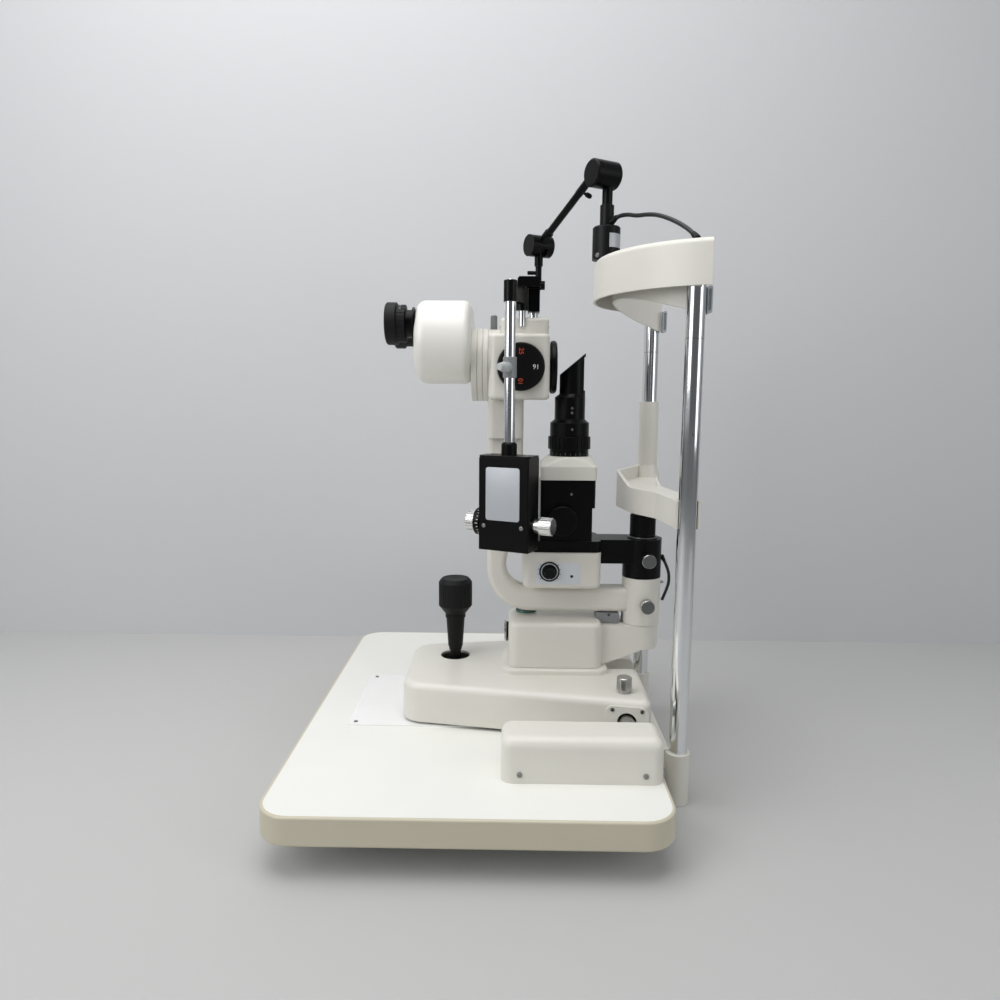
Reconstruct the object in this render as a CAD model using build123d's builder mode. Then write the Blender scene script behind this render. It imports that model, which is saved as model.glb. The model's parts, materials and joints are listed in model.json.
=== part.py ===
from build123d import *
import os
from math import atan2, cos, degrees, pi, radians, sin, sqrt, tan

os.makedirs("parts", exist_ok=True)

# Slit lamp on its own table top. X runs from the operator to the patient, Y across the
# instrument and Z upwards. The origin is the centre of the table's underside.
# All sizes are in millimetres.

# Clearances
seat_gap = 0.05
running_gap = 0.3
shaft_gap = 0.05

# Table top
table_width = 380.0
table_length = 530.0
table_thickness = 28.0
table_corner = 32.0
edge_band_thickness = 3.0
edge_band_round = 2.0
column_bolt_spacing = 160.0
column_insert_radius = 6.0
column_bolt_radius = 4.0
column_insert_length = 18.0
deck = table_thickness

# Glide plate under the joystick
glide_left = -144.0
glide_length = 150.0
glide_width = 154.0
glide_thickness = 1.5
glide_corner = 3.5

# Cross axle, its pinions and the racks they roll on
axle_x = 163.0
axle_height = 25.0
axle_radius = 8.0
axle_bore_radius = 5.0
pinion_shaft_radius = axle_bore_radius - shaft_gap
tooth_module = 1.5
pinion_teeth = 12
pinion_pitch_radius = tooth_module * pinion_teeth / 2
pinion_width = 9.0
pinion_y = 180.0
rack_width = 14.0
rack_end_gap = 8.0
tooth_addendum = 0.75 * tooth_module
tooth_dedendum = 1.15 * tooth_module
tooth_backlash = 0.5
flank_lean = 0.32
pressure_angle = 20.0
pinion_nut_thickness = 3.0
nut_sides = 6

# Rail covers over the racks
cover_left = 30.0
cover_length = 157.0
cover_inner_y = 159.0
cover_depth = 41.0
cover_height = 45.0
cover_wall = 2.5
cover_round = 11.0
cover_lip = 9.0
cover_screw_inset = 18.0
cover_screw_height = 9.0
cover_lug_width = 12.0

# Carriage
carriage_left = -84.0
carriage_right = 190.0
carriage_half_left = 70.0
carriage_half_right = 117.0
carriage_bottom = 4.0
carriage_top = 48.0
carriage_wall = 3.0
carriage_round = 8.0
carriage_corner = 26.0
carriage_patient_corner = 10.0
plinth_left = 29.0
plinth_right = 152.0
plinth_half = 41.0
plinth_height = 6.5
plinth_corner = 14.0
plinth_round = 3.0
arm_notch_left = 154.0
arm_notch_half = 17.0
arm_notch_floor = 30.0
base_thickness = 6.0
bearing_length = 20.0
bearing_half = 14.0
bearing_y = 75.0
bearing_plate_thickness = 2.0
bearing_plate_hole = 10.0
bearing_plate_half = 23.0
bearing_plate_top = 42.0
bearing_plate_corner = 9.0
lock_knob_radius = 8.2
lock_knob_height = 17.0
lock_knob_x = 163.0
lock_knob_y = -88.0
lock_stem_radius = 3.0
lock_collar_height = 2.5
lock_collar_step = 2.0
knob_flutes = 24
knob_flute_radius = 0.5
knob_bevel = 1.0

# Joystick
joystick_x = -30.0
joystick_y = 27.0
joystick_pivot_height = 20.0
joystick_ball_radius = 8.5
joystick_hole_radius = 18.0
joystick_stem_radius = 6.6
joystick_shroud_bottom = 56.0
joystick_foot_radius = 4.0
joystick_foot_gap = 0.6
joystick_foot_hole = 12.0
gimbal_radius = 16.0
gimbal_inner_radius = 11.0
gimbal_height = 8.0
gimbal_pin_radius = 2.5
pedestal_thickness = 6.0
pedestal_width = 12.0
shroud_foot_radius = 8.0
shroud_step_height = 60.0
shroud_step = 1.0
shroud_collar = 6.0
grip_spindle_radius = 6.0
grip_spindle_length = 25.0
grip_bottom = 103.0
grip_top = 146.0
grip_radius = 20.5
grip_neck_radius = 12.5
grip_taper = 9.0
grip_cap_height = 5.0
grip_cap_step = 2.0
grip_dish_radius = 15.0
grip_dish_depth = 1.0
grip_flutes = 36
grip_flute_radius = 0.7

# Guide column and the cover that rises with the arm
column_radius = 24.0
column_x = 88.0
column_top = 104.0
column_chamfer = 2.0
column_flange_radius = 34.0
column_flange_thickness = 6.0
sleeve_wall = 6.0
column_cover_left = 36.0
column_cover_right = 145.0
column_cover_half = 35.0
column_cover_top = 108.0
column_cover_wall = 3.0
column_cover_corner = 12.0
column_cover_round = 6.0
level_radius = 12.5
level_x = 57.0
level_y = 18.0
level_thickness = 3.0
level_sink = 2.0
level_round = 1.0

# Vertical pivot shared by microscope and illumination
pivot_x = 193.0
pivot_radius = 8.0
hub_radius = 22.5
lift_arm_half = 21.0
lift_arm_top = 102.0
lift_arm_heel = 55.0
lift_arm_toe = 73.0
lift_arm_shoulder = 3.0
microscope_hub_bottom = lift_arm_top + running_gap
microscope_hub_top = 157.7
illumination_hub_bottom = microscope_hub_top + running_gap
illumination_hub_top = 204.0
pivot_cap_bottom = illumination_hub_top + running_gap
pivot_cap_radius = 15.0
pivot_cap_height = 27.5
pivot_cap_round = 2.0
pivot_cap_foot = 4.0
cap_ribs = 24
cap_rib_radius = 0.8
hub_knob_x = 195.7
hub_knob_radius = 8.2
hub_knob_length = 11.0
knob_stem_radius = 3.0
knob_seat_depth = 10.0
knob_stand = 3.0
microscope_knob_height = 128.3
illumination_knob_height = 182.0

# Microscope arm
arm_half = 14.0
arm_low = 116.0
arm_high = 145.0
arm_back = 10.0
arm_inner = 28.0
arm_bend_outer = 52.0
arm_bend_inner = 26.0
arm_head_front = 51.0
arm_head_bottom = 296.0
arm_head_top = 320.0
arm_edge_round = 6.5
arm_chin_round = 12.0
column_neck_half = 20.0

# Microscope body
axis_height = 400.0
body_half_height = 36.0
body_left = 11.0
body_right = 79.0
body_half = 42.0
body_bottom = axis_height - body_half_height
body_top = axis_height + body_half_height
body_round = 9.0
flange_left = -8.0
flange_radius = 41.0
flange_right = 10.5
flange_rise = 3.0
flange_height = axis_height + flange_rise
flange_seam_depth = 1.0
flange_seam_width = 0.8
flange_rings = 3
lock_pin_x = 16.2
lock_pin_radius = 3.9
lock_pin_stand = 23.0
lock_pin_top = body_top + lock_pin_stand
top_cover_left = 24.0
top_cover_right = 78.0
top_cover_half = 30.0
top_cover_height = 18.0
top_cover_top = body_top + top_cover_height
top_cover_corner = 8.0
top_cover_round = 4.0
dial_radius = 26.0
dial_sink = 2.0
dial_stand = 7.0
dial_round = 2.0
dial_x = 47.0
dial_shaft_radius = 5.0
objective_radius = 30.0
objective_length = 9.0
objective_rise = 1.0
objective_height = axis_height + objective_rise
objective_bore = 24.0
objective_step = 2.0
objective_lip = 3.0
lens_thickness = 4.0
lens_round = 1.0

# Binocular head
drum_left = -70.0
drum_right = flange_left
drum_spread = 12.0
drum_radius = 46.0
drum_rise = 24.5
drum_height = flange_height + drum_rise
drum_round_left = 12.0
drum_round_right = 9.0
eyepiece_rise = 18.5
eyepiece_height = drum_height + eyepiece_rise
pupil_half = 31.5
eyepiece_tube_radius = 18.0
eyepiece_tube_length = 9.0
diopter_radius = 20.5
diopter_length = 8.5
eyecup_radius = 23.0
eyecup_length = 13.0
eyecup_wall = 3.0
eyecup_chamfer = 1.5
ocular_radius = 12.0
ocular_depth = 6.0
eyepiece_inner = 14.0
eyepiece_spigot = 9.0
spigot_depth = 5.0
pd_travel_out = 5.0
pd_travel_in = 4.0
tube_plate = 1.6
tube_step = 3.0
diopter_flutes = 24

# Illumination unit
lamp_axis_x = 104.5
lamp_box_left = 52.0
lamp_box_right = 141.0
lamp_box_half = 37.0
lamp_box_bottom = 149.0
lamp_box_top = 191.0
lamp_box_round = 7.0
tongue_root = 28.0
lamp_box_edge = 6.0
bar_bottom = 176.0
bar_half = 19.0
housing_base_top = 204.0
housing_base_left = 62.0
housing_base_half = 31.0
slit_left = 71.0
slit_right = 133.5
slit_half = 29.0
slit_top = 274.0
slit_step = 3.0
slit_step_height = 242.0
slit_corner = 3.0
filament_radius = 9.0
cap_left = 70.5
cap_right = 135.0
cap_half = 31.0
cap_edge = 289.0
cap_top = 300.0
cap_corner = 5.0
cap_top_half = 26.0
cap_top_corner = 25.0
scale_ring_radius = 22.5
scale_ring_height = 8.0
turn_ring_radius = 24.5
turn_ring_height = 14.5
turn_ring_flutes = 30
turn_flute_radius = 1.0
tower_spigot_radius = 17.0
tower_cone_height = 4.0
tower_base_radius = 22.5
tower_base_height = 15.5
tower_tube_radius = 17.5
tower_tube_height = 29.0
tower_neck_radius = 14.8
tower_neck_height = 21.5
tower_neck_shift = 2.5
mirror_head_height = 25.0
mirror_wall = 2.5
mirror_toe = -6.0
mirror_foot = 4.0
mirror_back_drop = 2.0
mirror_window_half = 8.0
rheostat_x = 82.0
rheostat_height = 170.0
rheostat_radius = 8.5
rheostat_length = 12.0
rheostat_skirt = 3.0
rheostat_top_radius = 6.5
rheostat_shaft_radius = 3.0
rheostat_shaft_depth = 8.0
rheostat_flutes = 18
slit_knob_x = 96.0
slit_knob_height = 228.0
slit_knob_radius = 17.0
slit_knob_length = 9.0
slit_shaft_radius = 4.0
slit_shaft_depth = 8.0

# Headrest
post_offset = 27.0
post_x = table_width / 2 + post_offset
post_half_spacing = 118.0
post_radius = 9.6
post_foot = -28.0
socket_radius = 12.6
socket_top = 23.0
socket_bottom = -33.0
cross_bar_depth = 18.0
cross_bar_top = 25.0
bracket_reach = 68.0
bracket_width = 30.0
bracket_thickness = 5.0
bracket_spacing = 180.0
bracket_bolt_spacing = 36.0
bracket_bolt_radius = 3.0
bracket_bolt_head = 4.0
cross_bar_height = 22.0
band_centre_radius = 130.3
band_reach = 75.3
band_centre_x = post_x - band_reach + band_centre_radius
band_wall = 2.5
band_half_width = post_radius + running_gap + band_wall
band_inner_drop = 25.0
band_bottom = 475.0
band_top = 520.0
band_end_offset = 11.0
band_end_x = post_x + band_end_offset
band_round = 6.0
clip_thickness = 5.0
clip_height = 26.0
clip_width = 16.0
clip_round = 1.6
canthus_height = 425.0
canthus_depth = 0.4
canthus_width = 1.2

# Chinrest
chin_bottom = 235.0
chin_top = 264.0
chin_wall = 2.5
chin_sleeve_radius = 12.3
chin_sleeve_top = 362.0
chin_lip_top = 279.0
fork_depth = 12.0
fork_arm = 3.0
chin_rim = 4.0
sleeve_flare = 8.0
sleeve_lap = 1.0
sleeve_flare_height = 16.0
chin_flat_y = 0.0
chin_rise_y = 46.0
chin_wing = 15.0
chin_near_reach = 20.0
chin_mid_reach = 40.0
chin_far_reach = 51.0
chin_back_dip = 3.0
chin_bend = 20.0

# Fixation lamp
fixation_x = post_x - band_reach
fixation_base_radius = 15.5
fixation_base_height = 36.0
fixation_tube_radius = 7.8
fixation_tube_height = 59.0
fixation_tube_top = band_top + fixation_tube_height
fixation_stem_radius = 5.8
elbow_yaw = 30.0
upper_elbow_rise = 32.0
upper_elbow_height = fixation_tube_top + upper_elbow_rise
upper_elbow_radius = 15.0
lower_elbow_radius = 13.0
fixation_arm_drop = 27.5
fixation_arm_length = 128.0
fixation_base_round = 1.5
fixation_bore_depth = 30.0
upper_housing_start = -10.0
upper_housing_end = 13.2
upper_knuckle_end = 23.0
elbow_pin_radius = 5.0
elbow_pin_depth = 18.0
fixation_bar_radius = 4.2
fixation_sleeve_radius = 5.6
fixation_sleeve_step = 1.0
fixation_sleeve_length = 26.0
lower_elbow_half = 15.0
lower_core_radius = 9.0
lower_core_half = 11.0
lower_slot_half = 6.0
lower_slot_angle = 70.0
lamp_stem_radius = 5.2
lamp_stem_length = 24.0
lamp_neck_radius = 3.8
lamp_neck_length = 47.0
lamp_head_radius = 5.5
lamp_head_length = 16.0
thumb_lever_length = 14.0
thumb_lever_radius = 2.4
thumb_lever_drop = 32.0

# Cords
lamp_cable_radius = 2.25
illumination_cable_radius = 1.75
bend_share = 0.45

# Tonometer
tono_pivot_x = 48.0
tono_pivot_y = -30.0
tono_pin_radius = 3.6
tono_pin_rise = 8.0
tono_pin_foot = body_top + tono_pin_rise
tono_block_x = 61.0
tono_block_y = -8.0
tono_post_radius = 5.0
tono_rod_x = 35.0
tono_rod_y = -68.0
tono_rod_radius = 5.9
tono_yaw = 25.0
tono_box_width = 59.0
tono_box_depth = 29.0
tono_box_bottom = 202.0
tono_box_top = 305.0
tono_knob_height = 230.5
tono_cap_rise = 12.0
tono_cap_height = 22.0
tono_cap_bottom = top_cover_top + tono_cap_rise
tono_cap_top = tono_cap_bottom + tono_cap_height
tono_cap_seat = 2.0
tono_cap_radius = 7.2
tono_cap_roof = 2.0
tono_boss_radius = 7.0
tono_link_width = 9.0
tono_block_rise = 7.0
tono_block_height = 36.0
tono_block_bottom = top_cover_top + tono_block_rise
tono_block_top = tono_block_bottom + tono_block_height
tono_block_width = 24.0
tono_slab = 13.0
tono_yoke = 12.0
tono_yoke_y = -20.0
tono_yoke_width = 32.0
tono_chamfer = 2.0
tono_box_corner = 1.5
tono_lid_thickness = 2.5
tono_lid_lap = 1.0
tono_lid_corner = 5.0
tono_rod_seat = 12.0
tono_socket_radius = 8.5
tono_socket_height = 14.0
tono_shaft_radius = 4.0
tono_shaft_length = 23.0
tono_drum_radius = 15.0
tono_drum_width = 7.0
tono_knob_radius = 11.0
tono_knob_length = 12.0
tono_collar_start = 3.0
tono_collar_radius = 8.0
tono_right_knob_radius = 9.7
tono_right_knob_length = 14.0
prism_drop = 2.0
prism_height = axis_height - prism_drop
prism_ring_radius = 7.4
prism_ring_height = 22.0
prism_ring_chamfer = 0.6
prism_base_radius = 5.5
prism_waist = 15.0
prism_tip_radius = 3.4
prism_length = 26.0

# Directions shared by the fixation elbows and by the tonometer
elbow_axis = Vector(-cos(radians(elbow_yaw)), -sin(radians(elbow_yaw)), 0)
elbow_across = Vector(-sin(radians(elbow_yaw)), cos(radians(elbow_yaw)), 0)
tono_front = Vector(-sin(radians(tono_yaw)), -cos(radians(tono_yaw)), 0)
tono_right = Vector(cos(radians(tono_yaw)), -sin(radians(tono_yaw)), 0)
sides = (("near", -1), ("far", 1))


def spot(x, y, height):
    """A point given by its height above the table's surface."""
    return (x, y, deck + height)


def up_plane(height, x=0, y=0):
    """A level plane at a height above the table's surface."""
    return Plane(spot(x, y, height))


def side_plane(y):
    """An upright plane across Y whose sketch axes are world X and Z."""
    return Plane(origin=(0, y, 0), x_dir=(1, 0, 0), z_dir=(0, -1, 0))


def end_plane(x, y, height):
    """An upright plane facing the patient, centred on a height above the table."""
    return Plane(origin=spot(x, y, height), x_dir=(0, 1, 0), z_dir=(1, 0, 0))


def turned(plane, *corners):
    """A piece turned about a plane's normal from corners of radius and height."""
    profile_plane = Plane(origin=plane.origin, x_dir=plane.x_dir, z_dir=-plane.y_dir)
    with BuildPart() as piece:
        with BuildSketch(profile_plane):
            Polygon(*corners, align=None)
        revolve(axis=Axis(plane.origin, plane.z_dir))
    return piece.part


def knurled(plane, radius, length, flutes, flute_radius, edge=0.8):
    """A knob with fine flutes round its rim and broken edges at both ends."""
    with BuildPart() as knob:
        with BuildSketch(plane):
            Circle(radius)
        extrude(amount=length)
        chamfer(knob.edges(), edge)
        with BuildSketch(plane):
            with PolarLocations(radius, flutes):
                Circle(flute_radius)
        extrude(amount=length, mode=Mode.SUBTRACT)
    return knob.part


# Table top with its edge band and the threaded inserts for the column bolts
panel_width = table_width - 2 * edge_band_thickness
panel_length = table_length - 2 * edge_band_thickness
panel_corner = table_corner - edge_band_thickness
bolt_x = table_width / 2 - bracket_reach / 2

with BuildPart() as table_panel:
    with BuildSketch():
        RectangleRounded(panel_width - 2 * seat_gap, panel_length - 2 * seat_gap, panel_corner)
    extrude(amount=table_thickness)
    with BuildSketch():
        with GridLocations(column_bolt_spacing, column_bolt_spacing, 2, 2):
            Circle(column_insert_radius + seat_gap)
        with Locations((bolt_x, 0)):
            with GridLocations(bracket_bolt_spacing, bracket_spacing, 2, 2):
                Circle(bracket_bolt_radius + seat_gap)
    extrude(amount=column_insert_length + seat_gap, mode=Mode.SUBTRACT)
table_panel.part.label = "table_panel"
export_step(table_panel.part, "parts/table_panel.step")

with BuildPart() as table_edge_band:
    with BuildSketch():
        RectangleRounded(table_width, table_length, table_corner)
    extrude(amount=table_thickness)
    fillet(table_edge_band.faces().filter_by(Axis.Z).edges(), edge_band_round)
    with BuildSketch():
        RectangleRounded(panel_width, panel_length, panel_corner)
    extrude(amount=table_thickness, mode=Mode.SUBTRACT)
table_edge_band.part.label = "table_edge_band"
export_step(table_edge_band.part, "parts/table_edge_band.step")

with BuildPart() as column_inserts:
    with BuildSketch():
        with GridLocations(column_bolt_spacing, column_bolt_spacing, 2, 2):
            Circle(column_insert_radius)
            Circle(column_bolt_radius, mode=Mode.SUBTRACT)
    extrude(amount=column_insert_length)
column_inserts.part.label = "column_inserts"
export_step(column_inserts.part, "parts/column_inserts.step")

with BuildPart() as glide_plate:
    with BuildSketch(up_plane(0, glide_left + glide_length / 2)):
        RectangleRounded(glide_length, glide_width, glide_corner)
    extrude(amount=glide_thickness)
glide_plate.part.label = "glide_plate"
export_step(glide_plate.part, "parts/glide_plate.step")

# Racks with their cover lugs, and the pinions that roll on them
tooth_pitch = pi * tooth_module
rack_left = cover_left + rack_end_gap
rack_length = cover_length - 2 * rack_end_gap
rack_pitch_height = axle_height - pinion_pitch_radius
rack_root_height = rack_pitch_height - tooth_dedendum
tooth_width = (tooth_pitch - tooth_backlash) / 2
half_tooth = tooth_width / 2
teeth_left = int((axle_x - rack_left) / tooth_pitch)
teeth_right = int((rack_left + rack_length - axle_x) / tooth_pitch)
tooth_middles = [axle_x + (index + 0.5) * tooth_pitch for index in range(-teeth_left, teeth_right)]
root_half = half_tooth + tooth_dedendum * flank_lean
tip_half = half_tooth - tooth_addendum * flank_lean
cover_outer_y = cover_inner_y + cover_depth
cover_middle_x = cover_left + cover_length / 2
cover_screw_spacing = cover_length - 2 * cover_screw_inset
lug_start_y = pinion_y + pinion_width / 2 + running_gap
lug_end_y = cover_outer_y - cover_wall - seat_gap

with BuildPart() as racks:
    for side, sign in sides:
        with BuildSketch(side_plane(sign * pinion_y)):
            with Locations((cover_middle_x, deck + rack_root_height / 2)):
                Rectangle(rack_length, rack_root_height)
            with Locations([(middle, deck + rack_pitch_height) for middle in tooth_middles]):
                Polygon(
                    (-root_half, -tooth_dedendum),
                    (root_half, -tooth_dedendum),
                    (tip_half, tooth_addendum),
                    (-tip_half, tooth_addendum),
                    align=None,
                )
        extrude(amount=rack_width / 2, both=True)
        with BuildSketch(up_plane(0)):
            with Locations((cover_middle_x, sign * (lug_start_y + lug_end_y) / 2)):
                with GridLocations(cover_screw_spacing, 1, 2, 1):
                    Rectangle(cover_lug_width, lug_end_y - lug_start_y)
        extrude(amount=cover_screw_height + cover_lug_width / 2)
racks.part.label = "racks"
export_step(racks.part, "parts/racks.step")

base_radius = pinion_pitch_radius * cos(radians(pressure_angle))
pinion_tip_radius = pinion_pitch_radius + tooth_addendum
pinion_root_radius = pinion_pitch_radius - tooth_dedendum


def involute(radius):
    """The involute's polar angle where it crosses a radius."""
    cosine = min(base_radius / radius, 1.0)
    slope = sqrt(1 - cosine**2) / cosine
    return slope - atan2(slope, 1)


def tooth_angle(radius):
    """Half of a pinion tooth's angle at a radius."""
    pitch_half = half_tooth / pinion_pitch_radius
    return pitch_half + involute(pinion_pitch_radius) - involute(radius)


flank_radii = (pinion_root_radius, base_radius, pinion_pitch_radius, pinion_tip_radius)
flank = [(r * sin(tooth_angle(r)), r * cos(tooth_angle(r))) for r in flank_radii]
tooth_outline = [(-x, y) for x, y in flank] + flank[::-1]

with BuildPart() as pinion_set:
    with BuildSketch(side_plane(0)):
        with Locations((axle_x, deck + axle_height)):
            Circle(pinion_shaft_radius)
    extrude(amount=pinion_y + pinion_width / 2 + pinion_nut_thickness, both=True)
    for side, sign in sides:
        with BuildSketch(side_plane(sign * pinion_y)):
            with Locations((axle_x, deck + axle_height)):
                Circle(pinion_root_radius)
                with PolarLocations(0, pinion_teeth):
                    Polygon(*tooth_outline, align=None)
        extrude(amount=pinion_width / 2, both=True)
        nut_start = sign * (pinion_y + pinion_width / 2)
        with BuildSketch(side_plane(nut_start)):
            with Locations((axle_x, deck + axle_height)):
                RegularPolygon(pinion_shaft_radius + pinion_nut_thickness / 2, nut_sides)
        extrude(amount=-sign * pinion_nut_thickness)
pinion_set.part.label = "pinion_set"
export_step(pinion_set.part, "parts/pinion_set.step")

with BuildPart() as cross_axle:
    with BuildSketch(side_plane(0)):
        with Locations((axle_x, deck + axle_height)):
            Circle(axle_radius)
            Circle(axle_bore_radius, mode=Mode.SUBTRACT)
    extrude(amount=pinion_y - rack_width / 2 - running_gap, both=True)
cross_axle.part.label = "cross_axle"
export_step(cross_axle.part, "parts/cross_axle.step")

# Rail covers, each open below and towards the carriage
for side, sign in sides:
    middle_y = sign * (cover_inner_y + cover_depth / 2)
    with BuildPart() as rail_cover:
        with BuildSketch(up_plane(0, cover_middle_x, middle_y)):
            Rectangle(cover_length, cover_depth)
        extrude(amount=cover_height)
        outward = rail_cover.faces().sort_by(Axis.Y)[0 if sign < 0 else -1]
        top = rail_cover.faces().sort_by(Axis.Z)[-1]
        inner = rail_cover.faces().sort_by(Axis.Y)[-1 if sign < 0 else 0]
        rims = outward.edges() + top.edges()
        rims = rims.filter_by(lambda edge: edge not in inner.edges())
        fillet(rims.filter_by(lambda edge: edge.center().Z > deck + seat_gap), cover_round)
        openings = rail_cover.faces().sort_by(Axis.Z)[0]
        offset(amount=-cover_wall, openings=openings)
        with BuildSketch(side_plane(sign * cover_inner_y)):
            with Locations((cover_middle_x, deck + (cover_height - cover_lip) / 2)):
                Rectangle(cover_length - 2 * cover_wall, cover_height - cover_lip)
        extrude(amount=cover_wall + seat_gap, both=True, mode=Mode.SUBTRACT)
    rail_cover.part.label = f"rail_cover_{side}"
    export_step(rail_cover.part, f"parts/rail_cover_{side}.step")

# Carriage cover: a tapered moulding with a plinth, a joystick hole and a notch for the arm
carriage_length = carriage_right - carriage_left
side_slope = (carriage_half_right - carriage_half_left) / carriage_length
side_angle = atan2(carriage_half_right - carriage_half_left, carriage_length)
plinth_top = carriage_top + plinth_height


def carriage_half(x):
    """Half the carriage's width at a place along it."""
    return carriage_half_left + (x - carriage_left) * side_slope


def carriage_block(inset, bottom, top, edge):
    """A block with the carriage's tapered plan, drawn in by an inset on every side."""
    left, right = carriage_left + inset, carriage_right - inset
    side_inset = inset / cos(side_angle)
    half_left = carriage_half(left) - side_inset
    half_right = carriage_half(right) - side_inset
    with BuildPart() as block:
        with BuildSketch(up_plane(bottom)) as plan:
            Polygon(
                (left, -half_left), (right, -half_right), (right, half_right), (left, half_left),
                align=None,
            )
            fillet(plan.vertices().group_by(Axis.X)[0], carriage_corner - inset)
            fillet(plan.vertices().group_by(Axis.X)[-1], carriage_patient_corner - inset)
        extrude(amount=top - bottom)
        fillet(block.faces().sort_by(Axis.Z)[-1].edges(), edge)
    return block.part


carriage_outer = carriage_block(0, carriage_bottom, carriage_top, carriage_round)
carriage_inner = carriage_block(
    carriage_wall, carriage_bottom, carriage_top - carriage_wall, carriage_round - carriage_wall
)
notch_length = carriage_right - arm_notch_left
notch_middle = arm_notch_left + notch_length / 2

with BuildPart() as notch_block:
    with BuildSketch(up_plane(arm_notch_floor - carriage_wall, notch_middle - carriage_wall)):
        Rectangle(notch_length, 2 * (arm_notch_half + carriage_wall))
    extrude(amount=carriage_top)

with BuildPart() as plinth:
    with BuildSketch(up_plane(carriage_top - carriage_wall, (plinth_left + plinth_right) / 2)):
        RectangleRounded(plinth_right - plinth_left, 2 * plinth_half, plinth_corner)
    extrude(amount=plinth_height + carriage_wall)
    fillet(plinth.faces().sort_by(Axis.Z)[-1].edges(), plinth_round)

with BuildPart() as carriage_cavity:
    add(carriage_inner)
    add(notch_block.part, mode=Mode.SUBTRACT)

with BuildPart() as carriage_cover:
    add(carriage_outer)
    add(plinth.part)
    with BuildSketch(up_plane(carriage_bottom, (plinth_left + plinth_right) / 2)):
        RectangleRounded(
            plinth_right - plinth_left - 2 * carriage_wall,
            2 * (plinth_half - carriage_wall),
            plinth_corner - carriage_wall,
        )
    extrude(amount=plinth_top - carriage_wall - carriage_bottom, mode=Mode.SUBTRACT)
    add(carriage_cavity.part, mode=Mode.SUBTRACT)
    with BuildSketch(up_plane(arm_notch_floor, notch_middle)):
        Rectangle(notch_length, 2 * arm_notch_half)
    extrude(amount=carriage_top, mode=Mode.SUBTRACT)
    with BuildSketch(up_plane(carriage_top - 2 * carriage_wall, joystick_x, joystick_y)):
        Circle(joystick_hole_radius)
    extrude(amount=carriage_top, mode=Mode.SUBTRACT)
    with BuildSketch(up_plane(carriage_top, column_x)):
        Circle(column_radius + seat_gap)
    extrude(amount=carriage_top, mode=Mode.SUBTRACT)
    with BuildSketch(up_plane(carriage_top - 2 * carriage_wall, lock_knob_x, lock_knob_y)):
        Circle(lock_stem_radius + shaft_gap)
    extrude(amount=carriage_top, mode=Mode.SUBTRACT)
    for side, sign in sides:
        plate_plane = Plane(
            origin=spot(axle_x, sign * carriage_half(axle_x), axle_height),
            x_dir=(cos(side_angle), sign * sin(side_angle), 0),
            z_dir=(-sin(side_angle), sign * cos(side_angle), 0),
        )
        with BuildSketch(plate_plane):
            RectangleRounded(
                2 * bearing_plate_half, 2 * (bearing_plate_top - axle_height), bearing_plate_corner
            )
        extrude(amount=bearing_plate_thickness)
    with BuildSketch(side_plane(0)):
        with Locations((axle_x, deck + axle_height)):
            Circle(bearing_plate_hole)
    extrude(amount=carriage_half_right + bearing_plate_thickness, both=True, mode=Mode.SUBTRACT)
carriage_cover.part.label = "carriage_cover"
export_step(carriage_cover.part, "parts/carriage_cover.step")

# Carriage base with its axle bearings and the joystick's two pedestals
base_top = carriage_bottom + base_thickness
base_outer = carriage_block(carriage_wall + seat_gap, carriage_bottom, base_top, seat_gap)
pedestal_x = gimbal_radius + running_gap + pedestal_thickness / 2

with BuildPart() as carriage_base:
    add(base_outer)
    with BuildSketch(up_plane(base_top, axle_x)):
        with GridLocations(1, 2 * bearing_y, 1, 2):
            Rectangle(2 * bearing_half, bearing_length)
    extrude(amount=axle_height + bearing_half - base_top)
    tops = carriage_base.edges().filter_by(Axis.Y).group_by(Axis.Z)[-1]
    fillet(tops, bearing_half / 2)
    with BuildSketch(side_plane(0)):
        with Locations((axle_x, deck + axle_height)):
            Circle(axle_radius + shaft_gap)
    extrude(amount=carriage_half_right, both=True, mode=Mode.SUBTRACT)
    with BuildSketch(up_plane(base_top, joystick_x, joystick_y)):
        with GridLocations(2 * pedestal_x, 1, 2, 1):
            Rectangle(pedestal_thickness, pedestal_width)
    extrude(amount=joystick_pivot_height + pedestal_width / 2 - base_top)
    with BuildSketch(end_plane(joystick_x, joystick_y, joystick_pivot_height)):
        Circle(gimbal_pin_radius + shaft_gap)
    extrude(amount=pedestal_x + pedestal_thickness, both=True, mode=Mode.SUBTRACT)
    with BuildSketch(up_plane(carriage_bottom, joystick_x, joystick_y)):
        Circle(joystick_foot_hole)
    extrude(amount=base_thickness, mode=Mode.SUBTRACT)
carriage_base.part.label = "carriage_base"
export_step(carriage_base.part, "parts/carriage_base.step")

with BuildPart() as guide_column:
    add(turned(
        up_plane(0, column_x),
        (0, base_top), (column_flange_radius, base_top),
        (column_flange_radius, base_top + column_flange_thickness),
        (column_radius, base_top + column_flange_thickness),
        (column_radius, column_top - column_chamfer),
        (column_radius - column_chamfer, column_top),
        (0, column_top),
    ))
guide_column.part.label = "guide_column"
export_step(guide_column.part, "parts/guide_column.step")

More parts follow.
